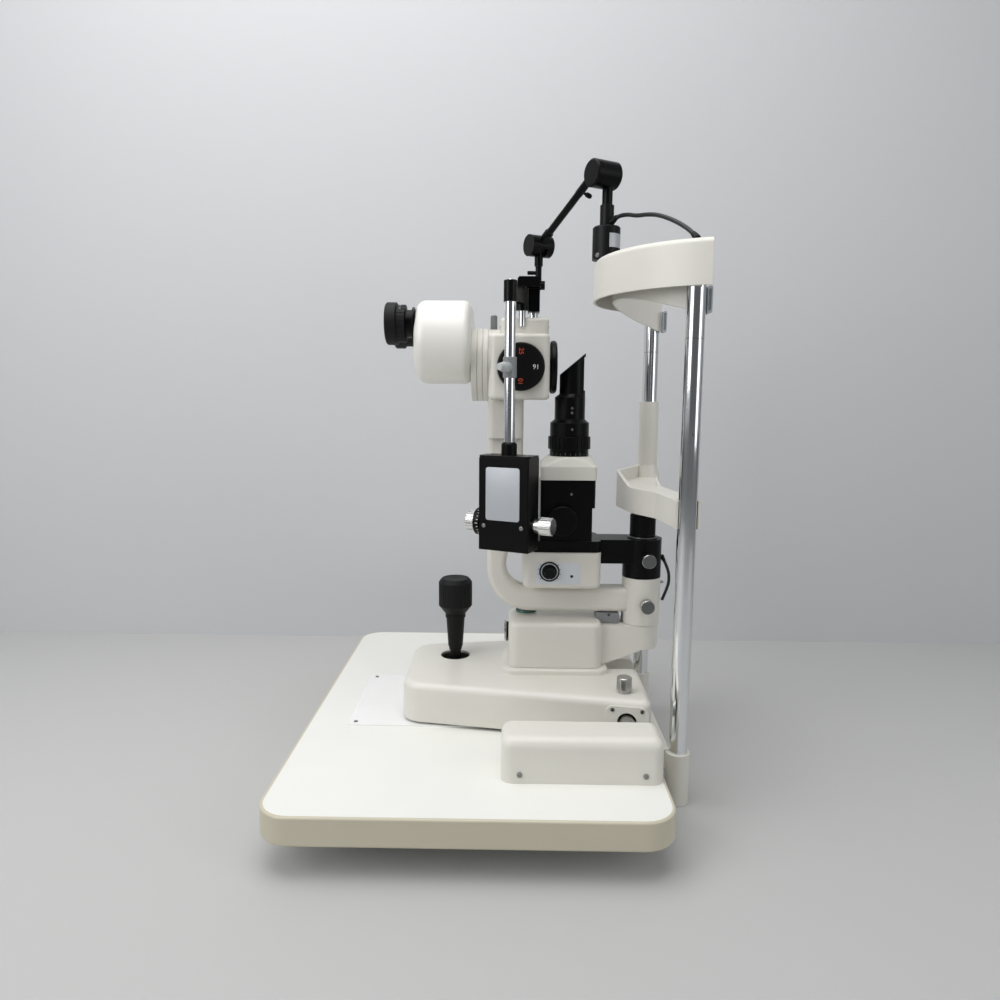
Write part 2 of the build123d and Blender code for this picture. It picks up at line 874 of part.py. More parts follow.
lock_foot = carriage_top - 2 * carriage_wall
with BuildPart() as carriage_lock_knob:
    add(knurled(
        up_plane(carriage_top + running_gap + lock_collar_height, lock_knob_x, lock_knob_y),
        lock_knob_radius, lock_knob_height - lock_collar_height, knob_flutes, knob_flute_radius,
    ))
    with BuildSketch(up_plane(carriage_top + running_gap, lock_knob_x, lock_knob_y)):
        Circle(lock_knob_radius - lock_collar_step)
    extrude(amount=lock_collar_height)
    with BuildSketch(up_plane(lock_foot, lock_knob_x, lock_knob_y)):
        Circle(lock_stem_radius)
    extrude(amount=carriage_top + running_gap + lock_collar_height - lock_foot)
carriage_lock_knob.part.label = "carriage_lock_knob"
export_step(carriage_lock_knob.part, "parts/carriage_lock_knob.step")

# Joystick: a gimbal ring, the stem that tilts in it and the grip that turns on the stem
pivot_plane = up_plane(joystick_pivot_height, joystick_x, joystick_y)
across_pivot = Plane(
    origin=spot(joystick_x, joystick_y, joystick_pivot_height), x_dir=(1, 0, 0), z_dir=(0, -1, 0)
)
pin_reach = pedestal_x + pedestal_thickness / 2

with BuildPart() as joystick_gimbal:
    with BuildSketch(pivot_plane):
        Circle(gimbal_radius)
        Circle(gimbal_inner_radius, mode=Mode.SUBTRACT)
    extrude(amount=gimbal_height / 2, both=True)
    with BuildSketch(end_plane(joystick_x, joystick_y, joystick_pivot_height)):
        Circle(gimbal_pin_radius)
    extrude(amount=pin_reach, both=True)
    with BuildSketch(pivot_plane):
        Circle(gimbal_inner_radius)
    extrude(amount=gimbal_height / 2, both=True, mode=Mode.SUBTRACT)
    with BuildSketch(across_pivot):
        Circle(gimbal_pin_radius + shaft_gap)
    extrude(amount=gimbal_radius, both=True, mode=Mode.SUBTRACT)
joystick_gimbal.part.label = "joystick_gimbal"
export_step(joystick_gimbal.part, "parts/joystick_gimbal.step")

foot_drop = joystick_pivot_height - glide_thickness - joystick_foot_gap
with BuildPart() as joystick_stem:
    Sphere(joystick_ball_radius)
    with BuildSketch(Plane.XY):
        Circle(joystick_stem_radius)
    extrude(amount=joystick_shroud_bottom - joystick_pivot_height)
    with BuildSketch(Plane.XY):
        Circle(joystick_foot_radius)
    extrude(amount=-foot_drop)
    fillet(joystick_stem.faces().sort_by(Axis.Z)[0].edges(), joystick_foot_radius / 2)
    with BuildSketch(Plane.XZ):
        Circle(gimbal_pin_radius)
    extrude(amount=gimbal_radius, both=True)
    add(turned(
        Plane.XY,
        (0, joystick_shroud_bottom - joystick_pivot_height),
        (shroud_foot_radius, joystick_shroud_bottom - joystick_pivot_height),
        (shroud_foot_radius, shroud_step_height - joystick_pivot_height),
        (shroud_foot_radius + shroud_step, shroud_step_height - joystick_pivot_height),
        (grip_neck_radius - shroud_step, grip_bottom - shroud_collar - joystick_pivot_height),
        (grip_neck_radius, grip_bottom - shroud_collar - joystick_pivot_height),
        (grip_neck_radius, grip_bottom - running_gap - joystick_pivot_height),
        (0, grip_bottom - running_gap - joystick_pivot_height),
    ))
    with BuildSketch(Plane.XY.offset(grip_bottom - joystick_pivot_height - shroud_collar)):
        Circle(grip_spindle_radius)
    extrude(amount=shroud_collar + grip_spindle_length)
joystick_stem.part = joystick_stem.part.moved(Location(spot(joystick_x, joystick_y, joystick_pivot_height)))
joystick_stem.part.label = "joystick_stem"
export_step(joystick_stem.part, "parts/joystick_stem.step")

grip_plane = up_plane(0, joystick_x, joystick_y)
with BuildPart() as joystick_grip:
    add(turned(
        grip_plane,
        (0, grip_bottom), (grip_neck_radius + shroud_step, grip_bottom),
        (grip_radius, grip_bottom + grip_taper),
        (grip_radius, grip_top - grip_cap_height),
        (grip_radius - grip_cap_step, grip_top - grip_cap_step),
        (grip_radius - 2 * grip_cap_step, grip_top),
        (grip_dish_radius, grip_top),
        (0, grip_top - grip_dish_depth),
    ))
    with BuildSketch(up_plane(grip_bottom + grip_taper, joystick_x, joystick_y)):
        with PolarLocations(grip_radius, grip_flutes):
            Circle(grip_flute_radius)
    extrude(amount=grip_top - grip_cap_height - grip_bottom - 2 * grip_taper / 2, mode=Mode.SUBTRACT)
    with BuildSketch(up_plane(grip_bottom, joystick_x, joystick_y)):
        Circle(grip_spindle_radius + shaft_gap)
    extrude(amount=grip_spindle_length + seat_gap, mode=Mode.SUBTRACT)
joystick_grip.part.label = "joystick_grip"
export_step(joystick_grip.part, "parts/joystick_grip.step")

# Lift: the cover round the guide column, the cast arm inside it and the pivot shaft
cover_bottom = plinth_top + running_gap
column_cover_middle = (column_cover_left + column_cover_right) / 2
column_cover_length = column_cover_right - column_cover_left
sleeve_radius = column_radius + sleeve_wall

with BuildPart() as column_cover:
    with BuildSketch(up_plane(cover_bottom, column_cover_middle)):
        RectangleRounded(column_cover_length, 2 * column_cover_half, column_cover_corner)
    extrude(amount=column_cover_top - cover_bottom)
    fillet(column_cover.faces().sort_by(Axis.Z)[-1].edges(), column_cover_round)
    with BuildSketch(up_plane(cover_bottom, column_cover_middle)):
        RectangleRounded(
            column_cover_length - 2 * column_cover_wall,
            2 * (column_cover_half - column_cover_wall),
            column_cover_corner - column_cover_wall,
        )
    extrude(amount=column_cover_top - column_cover_wall - cover_bottom, mode=Mode.SUBTRACT)
    with BuildSketch(end_plane(column_cover_right, 0, (cover_bottom + lift_arm_top) / 2)):
        Rectangle(2 * (lift_arm_half + seat_gap), lift_arm_top - cover_bottom + 2 * seat_gap)
    extrude(amount=column_cover_wall + seat_gap, both=True, mode=Mode.SUBTRACT)
    with BuildSketch(up_plane(column_cover_top - level_sink, level_x, level_y)):
        Circle(level_radius + seat_gap)
    extrude(amount=level_thickness, mode=Mode.SUBTRACT)
column_cover.part.label = "column_cover"
export_step(column_cover.part, "parts/column_cover.step")

with BuildPart() as bubble_level:
    with BuildSketch(up_plane(column_cover_top - level_sink, level_x, level_y)):
        Circle(level_radius)
    extrude(amount=level_sink + level_thickness)
    fillet(bubble_level.edges().group_by(Axis.Z)[-1], level_round)
bubble_level.part.label = "bubble_level"
export_step(bubble_level.part, "parts/bubble_level.step")

with BuildPart() as lift_arm:
    with BuildSketch(up_plane(cover_bottom, column_x)):
        Circle(sleeve_radius)
    extrude(amount=lift_arm_top - cover_bottom)
    with BuildSketch(side_plane(0)):
        Polygon(
            (column_x, deck + lift_arm_heel + 2 * running_gap),
            (column_cover_right + lift_arm_shoulder, deck + lift_arm_heel),
            (pivot_x, deck + lift_arm_toe),
            (pivot_x, deck + lift_arm_top),
            (column_x, deck + lift_arm_top),
            align=None,
        )
    extrude(amount=lift_arm_half, both=True)
    with BuildSketch(up_plane(lift_arm_toe, pivot_x)):
        Circle(lift_arm_half)
    extrude(amount=lift_arm_top - lift_arm_toe)
    with BuildSketch(up_plane(cover_bottom, column_x)):
        Circle(column_radius + shaft_gap)
    extrude(amount=lift_arm_top - cover_bottom, mode=Mode.SUBTRACT)
    with BuildSketch(up_plane(lift_arm_toe, pivot_x)):
        Circle(pivot_radius + seat_gap)
    extrude(amount=lift_arm_top - lift_arm_toe, mode=Mode.SUBTRACT)
lift_arm.part.label = "lift_arm"
export_step(lift_arm.part, "parts/lift_arm.step")

pivot_cap_top = pivot_cap_bottom + pivot_cap_height
with BuildPart() as pivot_shaft:
    with BuildSketch(up_plane(lift_arm_toe, pivot_x)):
        Circle(pivot_radius)
    extrude(amount=pivot_cap_top - lift_arm_toe)
    with BuildSketch(up_plane(pivot_cap_bottom, pivot_x)):
        Circle(pivot_cap_radius)
    extrude(amount=pivot_cap_height)
    fillet(pivot_shaft.edges().group_by(Axis.Z)[-1], pivot_cap_round)
    with BuildSketch(up_plane(pivot_cap_bottom + pivot_cap_foot, pivot_x)):
        with PolarLocations(pivot_cap_radius, cap_ribs):
            Circle(cap_rib_radius)
    extrude(amount=pivot_cap_height, mode=Mode.SUBTRACT)
pivot_shaft.part.label = "pivot_shaft"
export_step(pivot_shaft.part, "parts/pivot_shaft.step")

# Microscope arm: a C-shaped casting with its hub on the pivot shaft

with BuildPart() as microscope_arm:
    with BuildSketch(side_plane(0)) as arm_outline:
        Polygon(
            (pivot_x, deck + arm_low),
            (arm_back, deck + arm_low),
            (arm_back, deck + arm_head_top),
            (arm_head_front, deck + arm_head_top),
            (arm_head_front, deck + arm_head_bottom),
            (arm_inner, deck + arm_high),
            (pivot_x, deck + arm_high),
            align=None,
        )
        outer_bend = arm_outline.vertices().sort_by_distance((arm_back, deck + arm_low, 0))[0]
        fillet(outer_bend, arm_bend_outer)
        inner_bend = arm_outline.vertices().sort_by_distance((arm_inner, deck + arm_high, 0))[0]
        fillet(inner_bend, arm_bend_inner)
        chin_point = (arm_head_front, deck + arm_head_bottom, 0)
        chin = arm_outline.vertices().sort_by_distance(chin_point)[0]
        fillet(chin, arm_chin_round)
    extrude(amount=arm_half, both=True)
    long_edges = microscope_arm.faces().filter_by(Axis.Y).edges().filter_by(
        lambda edge: edge.center().X < pivot_x - seat_gap
        and edge.center().Z < deck + arm_head_top - seat_gap
    )
    fillet(long_edges, arm_edge_round)
    with BuildSketch(up_plane(microscope_hub_bottom, pivot_x)):
        Circle(hub_radius)
    extrude(amount=microscope_hub_top - microscope_hub_bottom)
    with BuildSketch(up_plane(microscope_hub_bottom, pivot_x)):
        Circle(pivot_radius + shaft_gap)
    extrude(amount=microscope_hub_top - microscope_hub_bottom, mode=Mode.SUBTRACT)
    with BuildSketch(side_plane(-hub_radius + knob_seat_depth)):
        with Locations((hub_knob_x, deck + microscope_knob_height)):
            Circle(knob_stem_radius + shaft_gap)
    extrude(amount=hub_radius, mode=Mode.SUBTRACT)
microscope_arm.part.label = "microscope_arm"
export_step(microscope_arm.part, "parts/microscope_arm.step")


def hub_knob(height):
    """A lock knob whose stem enters the near side of a hub at a height."""
    seat_y = -hub_radius + knob_seat_depth - running_gap
    face_y = -hub_radius - knob_stand
    with BuildPart() as knob:
        with BuildSketch(side_plane(seat_y)):
            with Locations((hub_knob_x, deck + height)):
                Circle(knob_stem_radius)
        extrude(amount=seat_y - face_y)
    head_plane = Plane(origin=(hub_knob_x, face_y, deck + height), x_dir=(1, 0, 0), z_dir=(0, -1, 0))
    return knob.part + knurled(
        head_plane, hub_knob_radius, hub_knob_length, knob_flutes, knob_flute_radius
    )


for hub_name, knob_height in (
    ("microscope", microscope_knob_height),
    ("illumination", illumination_knob_height),
):
    lock_knob = hub_knob(knob_height)
    lock_knob.label = f"{hub_name}_lock_knob"
    export_step(lock_knob, f"parts/{hub_name}_lock_knob.step")

# Microscope body with its neck, top cover, dials, objective and flange
neck_middle = (arm_back + arm_head_front) / 2
body_middle = (body_left + body_right) / 2
body_height = body_top - body_bottom
top_cover_middle = (top_cover_left + top_cover_right) / 2

with BuildPart() as magnifier_body:
    with BuildSketch(up_plane(body_bottom, body_middle)):
        RectangleRounded(body_right - body_left, 2 * body_half, body_round)
    extrude(amount=body_height)
    fillet(magnifier_body.faces().filter_by(Axis.Z).edges(), body_round / 2)
    with BuildSketch(up_plane(arm_head_top + seat_gap, neck_middle)):
        RectangleRounded(arm_head_front - arm_back, 2 * column_neck_half, arm_edge_round)
    extrude(amount=body_bottom + body_round - arm_head_top)
    with BuildSketch(end_plane(flange_right, 0, flange_height)):
        Circle(flange_radius - flange_seam_depth)
    extrude(amount=top_cover_left - seat_gap - flange_right)
    with BuildSketch(end_plane(flange_right, 0, flange_height)):
        Circle(flange_radius + seat_gap)
    extrude(amount=flange_left - flange_right, mode=Mode.SUBTRACT)
    with BuildSketch(side_plane(0)):
        with Locations((dial_x, deck + axis_height)):
            Circle(dial_shaft_radius + shaft_gap)
    extrude(amount=body_half, both=True, mode=Mode.SUBTRACT)
    with BuildSketch(side_plane(body_half)):
        with Locations((dial_x, deck + axis_height)):
            Circle(dial_radius + running_gap)
    extrude(amount=dial_sink, mode=Mode.SUBTRACT)
    with BuildSketch(side_plane(-body_half)):
        with Locations((dial_x, deck + axis_height)):
            Circle(dial_radius + running_gap)
    extrude(amount=-dial_sink, mode=Mode.SUBTRACT)
    with BuildSketch(up_plane(flange_height, lock_pin_x)):
        Circle(lock_pin_radius)
    extrude(amount=lock_pin_top - flange_height)
    fillet(magnifier_body.edges().group_by(Axis.Z)[-1], lock_pin_radius / 2)
magnifier_body.part.label = "magnifier_body"
export_step(magnifier_body.part, "parts/magnifier_body.step")

with BuildPart() as top_cover:
    with BuildSketch(up_plane(body_top + seat_gap, top_cover_middle)):
        RectangleRounded(top_cover_right - top_cover_left, 2 * top_cover_half, top_cover_corner)
    extrude(amount=top_cover_top - body_top - seat_gap)
    fillet(top_cover.faces().sort_by(Axis.Z)[-1].edges(), top_cover_round)
    with BuildSketch(up_plane(tono_pin_foot, tono_pivot_x, tono_pivot_y)):
        Circle(tono_pin_radius + seat_gap)
        with Locations((tono_block_x - tono_pivot_x, tono_block_y - tono_pivot_y)):
            Circle(tono_post_radius + seat_gap)
    extrude(amount=top_cover_top, mode=Mode.SUBTRACT)
top_cover.part.label = "top_cover"
export_step(top_cover.part, "parts/top_cover.step")

with BuildPart() as magnification_dials:
    with BuildSketch(side_plane(0)):
        with Locations((dial_x, deck + axis_height)):
            Circle(dial_shaft_radius)
    extrude(amount=body_half + dial_stand, both=True)
    for side, sign in sides:
        with BuildSketch(side_plane(sign * (body_half - dial_sink + running_gap))):
            with Locations((dial_x, deck + axis_height)):
                Circle(dial_radius)
        extrude(amount=-sign * (dial_sink - running_gap + dial_stand))
    rims = magnification_dials.faces().filter_by(Axis.Y).sort_by(Axis.Y)
    fillet(rims[0].edges() + rims[-1].edges(), dial_round)
magnification_dials.part.label = "magnification_dials"
export_step(magnification_dials.part, "parts/magnification_dials.step")

objective_plane = end_plane(body_right, 0, objective_height)
with BuildPart() as objective_ring:
    add(turned(
        objective_plane,
        (objective_bore, seat_gap),
        (objective_radius - objective_step, seat_gap),
        (objective_radius - objective_step, objective_step),
        (objective_radius, objective_lip),
        (objective_radius, objective_length - objective_step),
        (objective_radius - objective_step, objective_length),
        (objective_bore + objective_step, objective_length),
        (objective_bore, objective_length - objective_step),
    ))
objective_ring.part.label = "objective_ring"
export_step(objective_ring.part, "parts/objective_ring.step")

with BuildPart() as objective_lens:
    with BuildSketch(objective_plane.offset(seat_gap)):
        Circle(objective_bore - seat_gap)
    extrude(amount=lens_thickness)
    fillet(objective_lens.edges().group_by(Axis.X)[-1], lens_round)
objective_lens.part.label = "objective_lens"
export_step(objective_lens.part, "parts/objective_lens.step")

flange_plane = end_plane(flange_left, 0, flange_height)
flange_width = flange_right - flange_left
with BuildPart() as binocular_flange:
    with BuildSketch(flange_plane):
        Circle(flange_radius)
    extrude(amount=flange_width - seat_gap)
    for seam in range(1, flange_rings):
        with BuildSketch(flange_plane.offset(seam * flange_width / flange_rings)):
            Circle(flange_radius)
            Circle(flange_radius - flange_seam_depth, mode=Mode.SUBTRACT)
        extrude(amount=flange_seam_width, mode=Mode.SUBTRACT)
binocular_flange.part.label = "binocular_flange"
export_step(binocular_flange.part, "parts/binocular_flange.step")

# Binocular head: the drum and its two eyepieces
drum_length = drum_right - drum_left

with BuildPart() as binocular_drum:
    with BuildSketch(end_plane(drum_left, 0, drum_height)):
        SlotOverall(2 * (drum_radius + drum_spread), 2 * drum_radius)
    extrude(amount=drum_length - seat_gap)
    ends = binocular_drum.faces().filter_by(Axis.X).sort_by(Axis.X)
    fillet(ends[0].edges(), drum_round_left)
    ends = binocular_drum.faces().filter_by(Axis.X).sort_by(Axis.X)
    fillet(ends[-1].edges(), drum_round_right)
    with BuildSketch(end_plane(drum_left, 0, eyepiece_height)):
        for side, sign in sides:
            with Locations((sign * (pupil_half + (pd_travel_out - pd_travel_in) / 2), 0)):
                SlotOverall(
                    2 * (eyepiece_spigot + running_gap) + pd_travel_out + pd_travel_in + 2 * running_gap,
                    2 * (eyepiece_spigot + running_gap),
                )
    extrude(amount=spigot_depth + running_gap, mode=Mode.SUBTRACT)
binocular_drum.part.label = "binocular_drum"
export_step(binocular_drum.part, "parts/binocular_drum.step")

tube_end = eyepiece_tube_length
ring_end = tube_end + running_gap + diopter_length
cup_end = ring_end + eyecup_length
for side, sign in sides:
    eye_plane = Plane(
        origin=spot(drum_left - running_gap, sign * pupil_half, eyepiece_height),
        x_dir=(0, 1, 0),
        z_dir=(-1, 0, 0),
    )
    with BuildPart() as eyepiece:
        add(turned(
            eye_plane,
            (0, -spigot_depth), (eyepiece_spigot, -spigot_depth), (eyepiece_spigot, 0),
            (eyepiece_tube_radius, 0), (eyepiece_tube_radius, tube_plate),
            (eyepiece_tube_radius - tube_step, tube_plate),
            (eyepiece_tube_radius - tube_step, tube_end),
            (eyepiece_inner, tube_end), (eyepiece_inner, ring_end), (0, ring_end),
        ))
    eyepiece.part.label = f"eyepiece_{side}"
    export_step(eyepiece.part, f"parts/eyepiece_{side}.step")
    with BuildPart() as eyecup:
        add(turned(
            eye_plane,
            (eyepiece_inner + shaft_gap, tube_end + running_gap),
            (diopter_radius, tube_end + running_gap),
            (diopter_radius, ring_end),
            (eyecup_radius, ring_end + eyecup_chamfer),
            (eyecup_radius, cup_end - eyecup_chamfer),
            (eyecup_radius - eyecup_chamfer, cup_end),
            (eyecup_radius - eyecup_wall, cup_end),
            (ocular_radius, ring_end + ocular_depth),
            (0, ring_end + ocular_depth), (0, ring_end + running_gap),
            (eyepiece_inner + shaft_gap, ring_end + running_gap),
        ))
        with BuildSketch(eye_plane.offset(tube_end + running_gap)):
            with PolarLocations(diopter_radius, diopter_flutes):
                Circle(knob_flute_radius)
        extrude(amount=diopter_length, mode=Mode.SUBTRACT)
    eyecup.part.label = f"eyecup_{side}"
    export_step(eyecup.part, f"parts/eyecup_{side}.step")

# Tonometer: the mount on the top cover, the swinging arm with its rod, and the box
rod_plane = up_plane(0, tono_rod_x, tono_rod_y)
link_middle_x = (tono_pivot_x + tono_rod_x) / 2
link_middle_y = (tono_pivot_y + tono_rod_y) / 2
link_length = sqrt((tono_pivot_x - tono_rod_x) ** 2 + (tono_pivot_y - tono_rod_y) ** 2)
link_angle = degrees(atan2(tono_pivot_y - tono_rod_y, tono_pivot_x - tono_rod_x))
boss_bottom = tono_block_bottom
boss_top = tono_cap_top - tono_cap_seat

with BuildPart() as tonometer_mount:
    with BuildSketch(up_plane(tono_pin_foot + seat_gap, tono_pivot_x, tono_pivot_y)):
        Circle(tono_pin_radius)
    extrude(amount=tono_block_top - tono_pin_foot - 2 * tono_chamfer)
    with BuildSketch(up_plane(tono_pin_foot + seat_gap, tono_block_x, tono_block_y)):
        Circle(tono_post_radius)
    extrude(amount=tono_block_bottom - tono_pin_foot)
    with BuildSketch(up_plane(tono_block_bottom, tono_block_x, tono_block_y)):
        Rectangle(tono_slab, tono_block_width)
    extrude(amount=tono_block_top - tono_block_bottom)
    with BuildSketch(up_plane(boss_top + running_gap, tono_block_x - tono_yoke / 2, tono_yoke_y)):
        Rectangle(tono_yoke + tono_slab, tono_yoke_width)
    extrude(amount=tono_block_top - boss_top - running_gap)
    chamfer(tonometer_mount.edges().filter_by(Axis.Y).group_by(Axis.Z)[-1], tono_chamfer)
tonometer_mount.part.label = "tonometer_mount"
export_step(tonometer_mount.part, "parts/tonometer_mount.step")

with BuildPart() as tonometer_arm:
    with BuildSketch(rod_plane.offset(tono_cap_bottom)):
        Circle(tono_cap_radius)
    extrude(amount=tono_cap_top - tono_cap_bottom)
    fillet(tonometer_arm.edges().group_by(Axis.Z)[-1], tono_chamfer / 2)
    with BuildSketch(up_plane(boss_bottom, tono_pivot_x, tono_pivot_y)):
        Circle(tono_boss_radius)
    extrude(amount=boss_top - boss_bottom)
    with BuildSketch(up_plane(tono_cap_bottom + tono_chamfer, link_middle_x, link_middle_y)):
        Rectangle(link_length, tono_link_width, rotation=link_angle)
    extrude(amount=boss_top - tono_cap_bottom - 2 * tono_chamfer)
    with BuildSketch(up_plane(boss_bottom, tono_pivot_x, tono_pivot_y)):
        Circle(tono_pin_radius + shaft_gap)
    extrude(amount=boss_top - boss_bottom, mode=Mode.SUBTRACT)
    with BuildSketch(rod_plane.offset(tono_cap_bottom)):
        Circle(tono_rod_radius + seat_gap)
    extrude(amount=tono_cap_top - tono_cap_bottom - tono_cap_roof, mode=Mode.SUBTRACT)
tonometer_arm.part.label = "tonometer_arm"
export_step(tonometer_arm.part, "parts/tonometer_arm.step")

rod_top = tono_cap_top - tono_cap_roof - seat_gap
with BuildPart() as tonometer_rod:
    with BuildSketch(rod_plane.offset(tono_box_top - tono_rod_seat)):
        Circle(tono_rod_radius)
    extrude(amount=rod_top - tono_box_top + tono_rod_seat)
tonometer_rod.part.label = "tonometer_rod"
export_step(tonometer_rod.part, "parts/tonometer_rod.step")

box_height = tono_box_top - tono_box_bottom
box_plane = Plane(
    origin=spot(tono_rod_x, tono_rod_y, tono_box_bottom), x_dir=tono_right, z_dir=(0, 0, 1)
)
drum_axis_plane = Plane(
    origin=spot(tono_rod_x, tono_rod_y, tono_knob_height), x_dir=(0, 0, 1), z_dir=tono_right
)
with BuildPart() as tonometer_box:
    with BuildSketch(box_plane):
        RectangleRounded(tono_box_width, tono_box_depth, tono_box_corner)
    extrude(amount=box_height - tono_lid_thickness)
    with BuildSketch(box_plane.offset(box_height - tono_lid_thickness)):
        RectangleRounded(tono_box_width + tono_lid_lap, tono_box_depth + tono_lid_lap, tono_lid_corner)
    extrude(amount=tono_lid_thickness)
    with BuildSketch(box_plane.offset(box_height)):
        Circle(tono_socket_radius)
    extrude(amount=tono_socket_height)
    chamfer(tonometer_box.edges().group_by(Axis.Z)[-1], tono_chamfer)
    with BuildSketch(box_plane.offset(box_height - tono_rod_seat - seat_gap)):
        Circle(tono_rod_radius + seat_gap)
    extrude(amount=box_height, mode=Mode.SUBTRACT)
    with BuildSketch(drum_axis_plane):
        Circle(tono_shaft_radius + shaft_gap)
    extrude(amount=tono_box_width, both=True, mode=Mode.SUBTRACT)
tonometer_box.part.label = "tonometer_box"
export_step(tonometer_box.part, "parts/tonometer_box.step")

half_box = tono_box_width / 2
right_end = half_box + tono_shaft_length
with BuildPart() as tonometer_drum:
    add(turned(
        drum_axis_plane,
        (0, -half_box - running_gap - tono_drum_width - tono_knob_length),
        (tono_knob_radius - knob_bevel, -half_box - running_gap - tono_drum_width - tono_knob_length),
        (tono_knob_radius, -half_box - running_gap - tono_drum_width - tono_knob_length + knob_bevel),
        (tono_knob_radius, -half_box - running_gap - tono_drum_width),
        (tono_drum_radius, -half_box - running_gap - tono_drum_width),
        (tono_drum_radius, -half_box - running_gap),
        (tono_shaft_radius, -half_box - running_gap),
        (tono_shaft_radius, half_box + tono_collar_start),
        (tono_collar_radius, half_box + tono_collar_start),
        (tono_collar_radius, right_end - tono_right_knob_length),
        (tono_right_knob_radius, right_end - tono_right_knob_length),
        (tono_right_knob_radius, right_end - knob_bevel),
        (tono_right_knob_radius - knob_bevel, right_end),
        (0, right_end),
    ))
    with BuildSketch(drum_axis_plane.offset(right_end - tono_right_knob_length)):
        with PolarLocations(tono_right_knob_radius, knob_flutes):
            Circle(knob_flute_radius)
    extrude(amount=tono_right_knob_length, mode=Mode.SUBTRACT)
    with BuildSketch(drum_axis_plane.offset(-half_box - running_gap - tono_drum_width)):
        with PolarLocations(tono_knob_radius, knob_flutes):
            Circle(knob_flute_radius)
    extrude(amount=-tono_knob_length, mode=Mode.SUBTRACT)
tonometer_drum.part.label = "tonometer_drum"
export_step(tonometer_drum.part, "parts/tonometer_drum.step")

prism_plane = Plane(origin=spot(tono_rod_x, tono_rod_y, prism_height), x_dir=(0, 0, 1), z_dir=tono_front)
with BuildPart() as tonometer_prism:
    with BuildSketch(rod_plane.offset(prism_height - prism_ring_height / 2)):
        Circle(prism_ring_radius)
    extrude(amount=prism_ring_height)
    chamfer(tonometer_prism.edges().filter_by(GeomType.CIRCLE), prism_ring_chamfer)
    add(turned(
        prism_plane,
        (0, 0), (prism_base_radius, 0), (prism_base_radius, prism_waist),
        (prism_tip_radius, prism_length), (0, prism_length),
    ))
    with BuildSketch(rod_plane.offset(prism_height - prism_ring_height / 2)):
        Circle(tono_rod_radius + seat_gap)
    extrude(amount=prism_ring_height, mode=Mode.SUBTRACT)
tonometer_prism.part.label = "tonometer_prism"
export_step(tonometer_prism.part, "parts/tonometer_prism.step")

# Illumination: the arm on the pivot, the lamp box, the slit housing, the tower and its knobs
bar_start_x = lamp_box_right + running_gap
tongue_left = housing_base_left
tongue_middle = (tongue_left + lamp_box_right) / 2

with BuildPart() as illumination_arm:
    with BuildSketch(up_plane(illumination_hub_bottom, pivot_x)):
        Circle(hub_radius)
    extrude(amount=illumination_hub_top - illumination_hub_bottom)
    with BuildSketch(up_plane(bar_bottom, (bar_start_x + pivot_x) / 2)):
        Rectangle(pivot_x - bar_start_x, 2 * bar_half)
    extrude(amount=illumination_hub_top - bar_bottom)
    with BuildSketch(up_plane(lamp_box_top + seat_gap, tongue_middle)):
        RectangleRounded(lamp_box_right - tongue_left, 2 * housing_base_half, lamp_box_round)
    extrude(amount=housing_base_top - lamp_box_top - seat_gap)
    with BuildSketch(up_plane(lamp_box_top + seat_gap, bar_start_x)):
        Rectangle(tongue_root, 2 * bar_half)
    extrude(amount=housing_base_top - lamp_box_top - seat_gap)
    with BuildSketch(up_plane(illumination_hub_bottom, pivot_x)):
        Circle(pivot_radius + shaft_gap)
    extrude(amount=illumination_hub_top - illumination_hub_bottom, mode=Mode.SUBTRACT)
    with BuildSketch(side_plane(-hub_radius + knob_seat_depth)):
        with Locations((hub_knob_x, deck + illumination_knob_height)):
            Circle(knob_stem_radius + shaft_gap)
    extrude(amount=hub_radius, mode=Mode.SUBTRACT)
illumination_arm.part.label = "illumination_arm"
export_step(illumination_arm.part, "parts/illumination_arm.step")

lamp_box_middle = (lamp_box_left + lamp_box_right) / 2
with BuildPart() as lamp_box:
    with BuildSketch(up_plane(lamp_box_bottom, lamp_box_middle)):
        RectangleRounded(lamp_box_right - lamp_box_left, 2 * lamp_box_half, lamp_box_round)
    extrude(amount=lamp_box_top - lamp_box_bottom)
    fillet(lamp_box.faces().sort_by(Axis.Z)[0].edges(), lamp_box_edge)
    with BuildSketch(side_plane(-lamp_box_half)):
        with Locations((rheostat_x, deck + rheostat_height)):
            Circle(rheostat_shaft_radius + shaft_gap)
    extrude(amount=-rheostat_shaft_depth, mode=Mode.SUBTRACT)
lamp_box.part.label = "lamp_box"
export_step(lamp_box.part, "parts/lamp_box.step")

with BuildPart() as rheostat_knob:
    with BuildSketch(side_plane(-lamp_box_half + rheostat_shaft_depth - running_gap)):
        with Locations((rheostat_x, deck + rheostat_height)):
            Circle(rheostat_shaft_radius)
    extrude(amount=rheostat_shaft_depth)
    rheostat_plane = Plane(
        origin=spot(rheostat_x, -lamp_box_half - running_gap, rheostat_height),
        x_dir=(1, 0, 0),
        z_dir=(0, -1, 0),
    )
    add(turned(
        rheostat_plane,
        (0, 0),
        (rheostat_radius, 0),
        (rheostat_radius, rheostat_skirt),
        (rheostat_top_radius, rheostat_skirt),
        (rheostat_top_radius - knob_bevel, rheostat_length),
        (0, rheostat_length),
    ))
    with BuildSketch(rheostat_plane.offset(rheostat_skirt)):
        with PolarLocations(rheostat_top_radius, rheostat_flutes):
            Circle(knob_flute_radius)
    extrude(amount=rheostat_length, mode=Mode.SUBTRACT)
rheostat_knob.part.label = "rheostat_knob"
export_step(rheostat_knob.part, "parts/rheostat_knob.step")

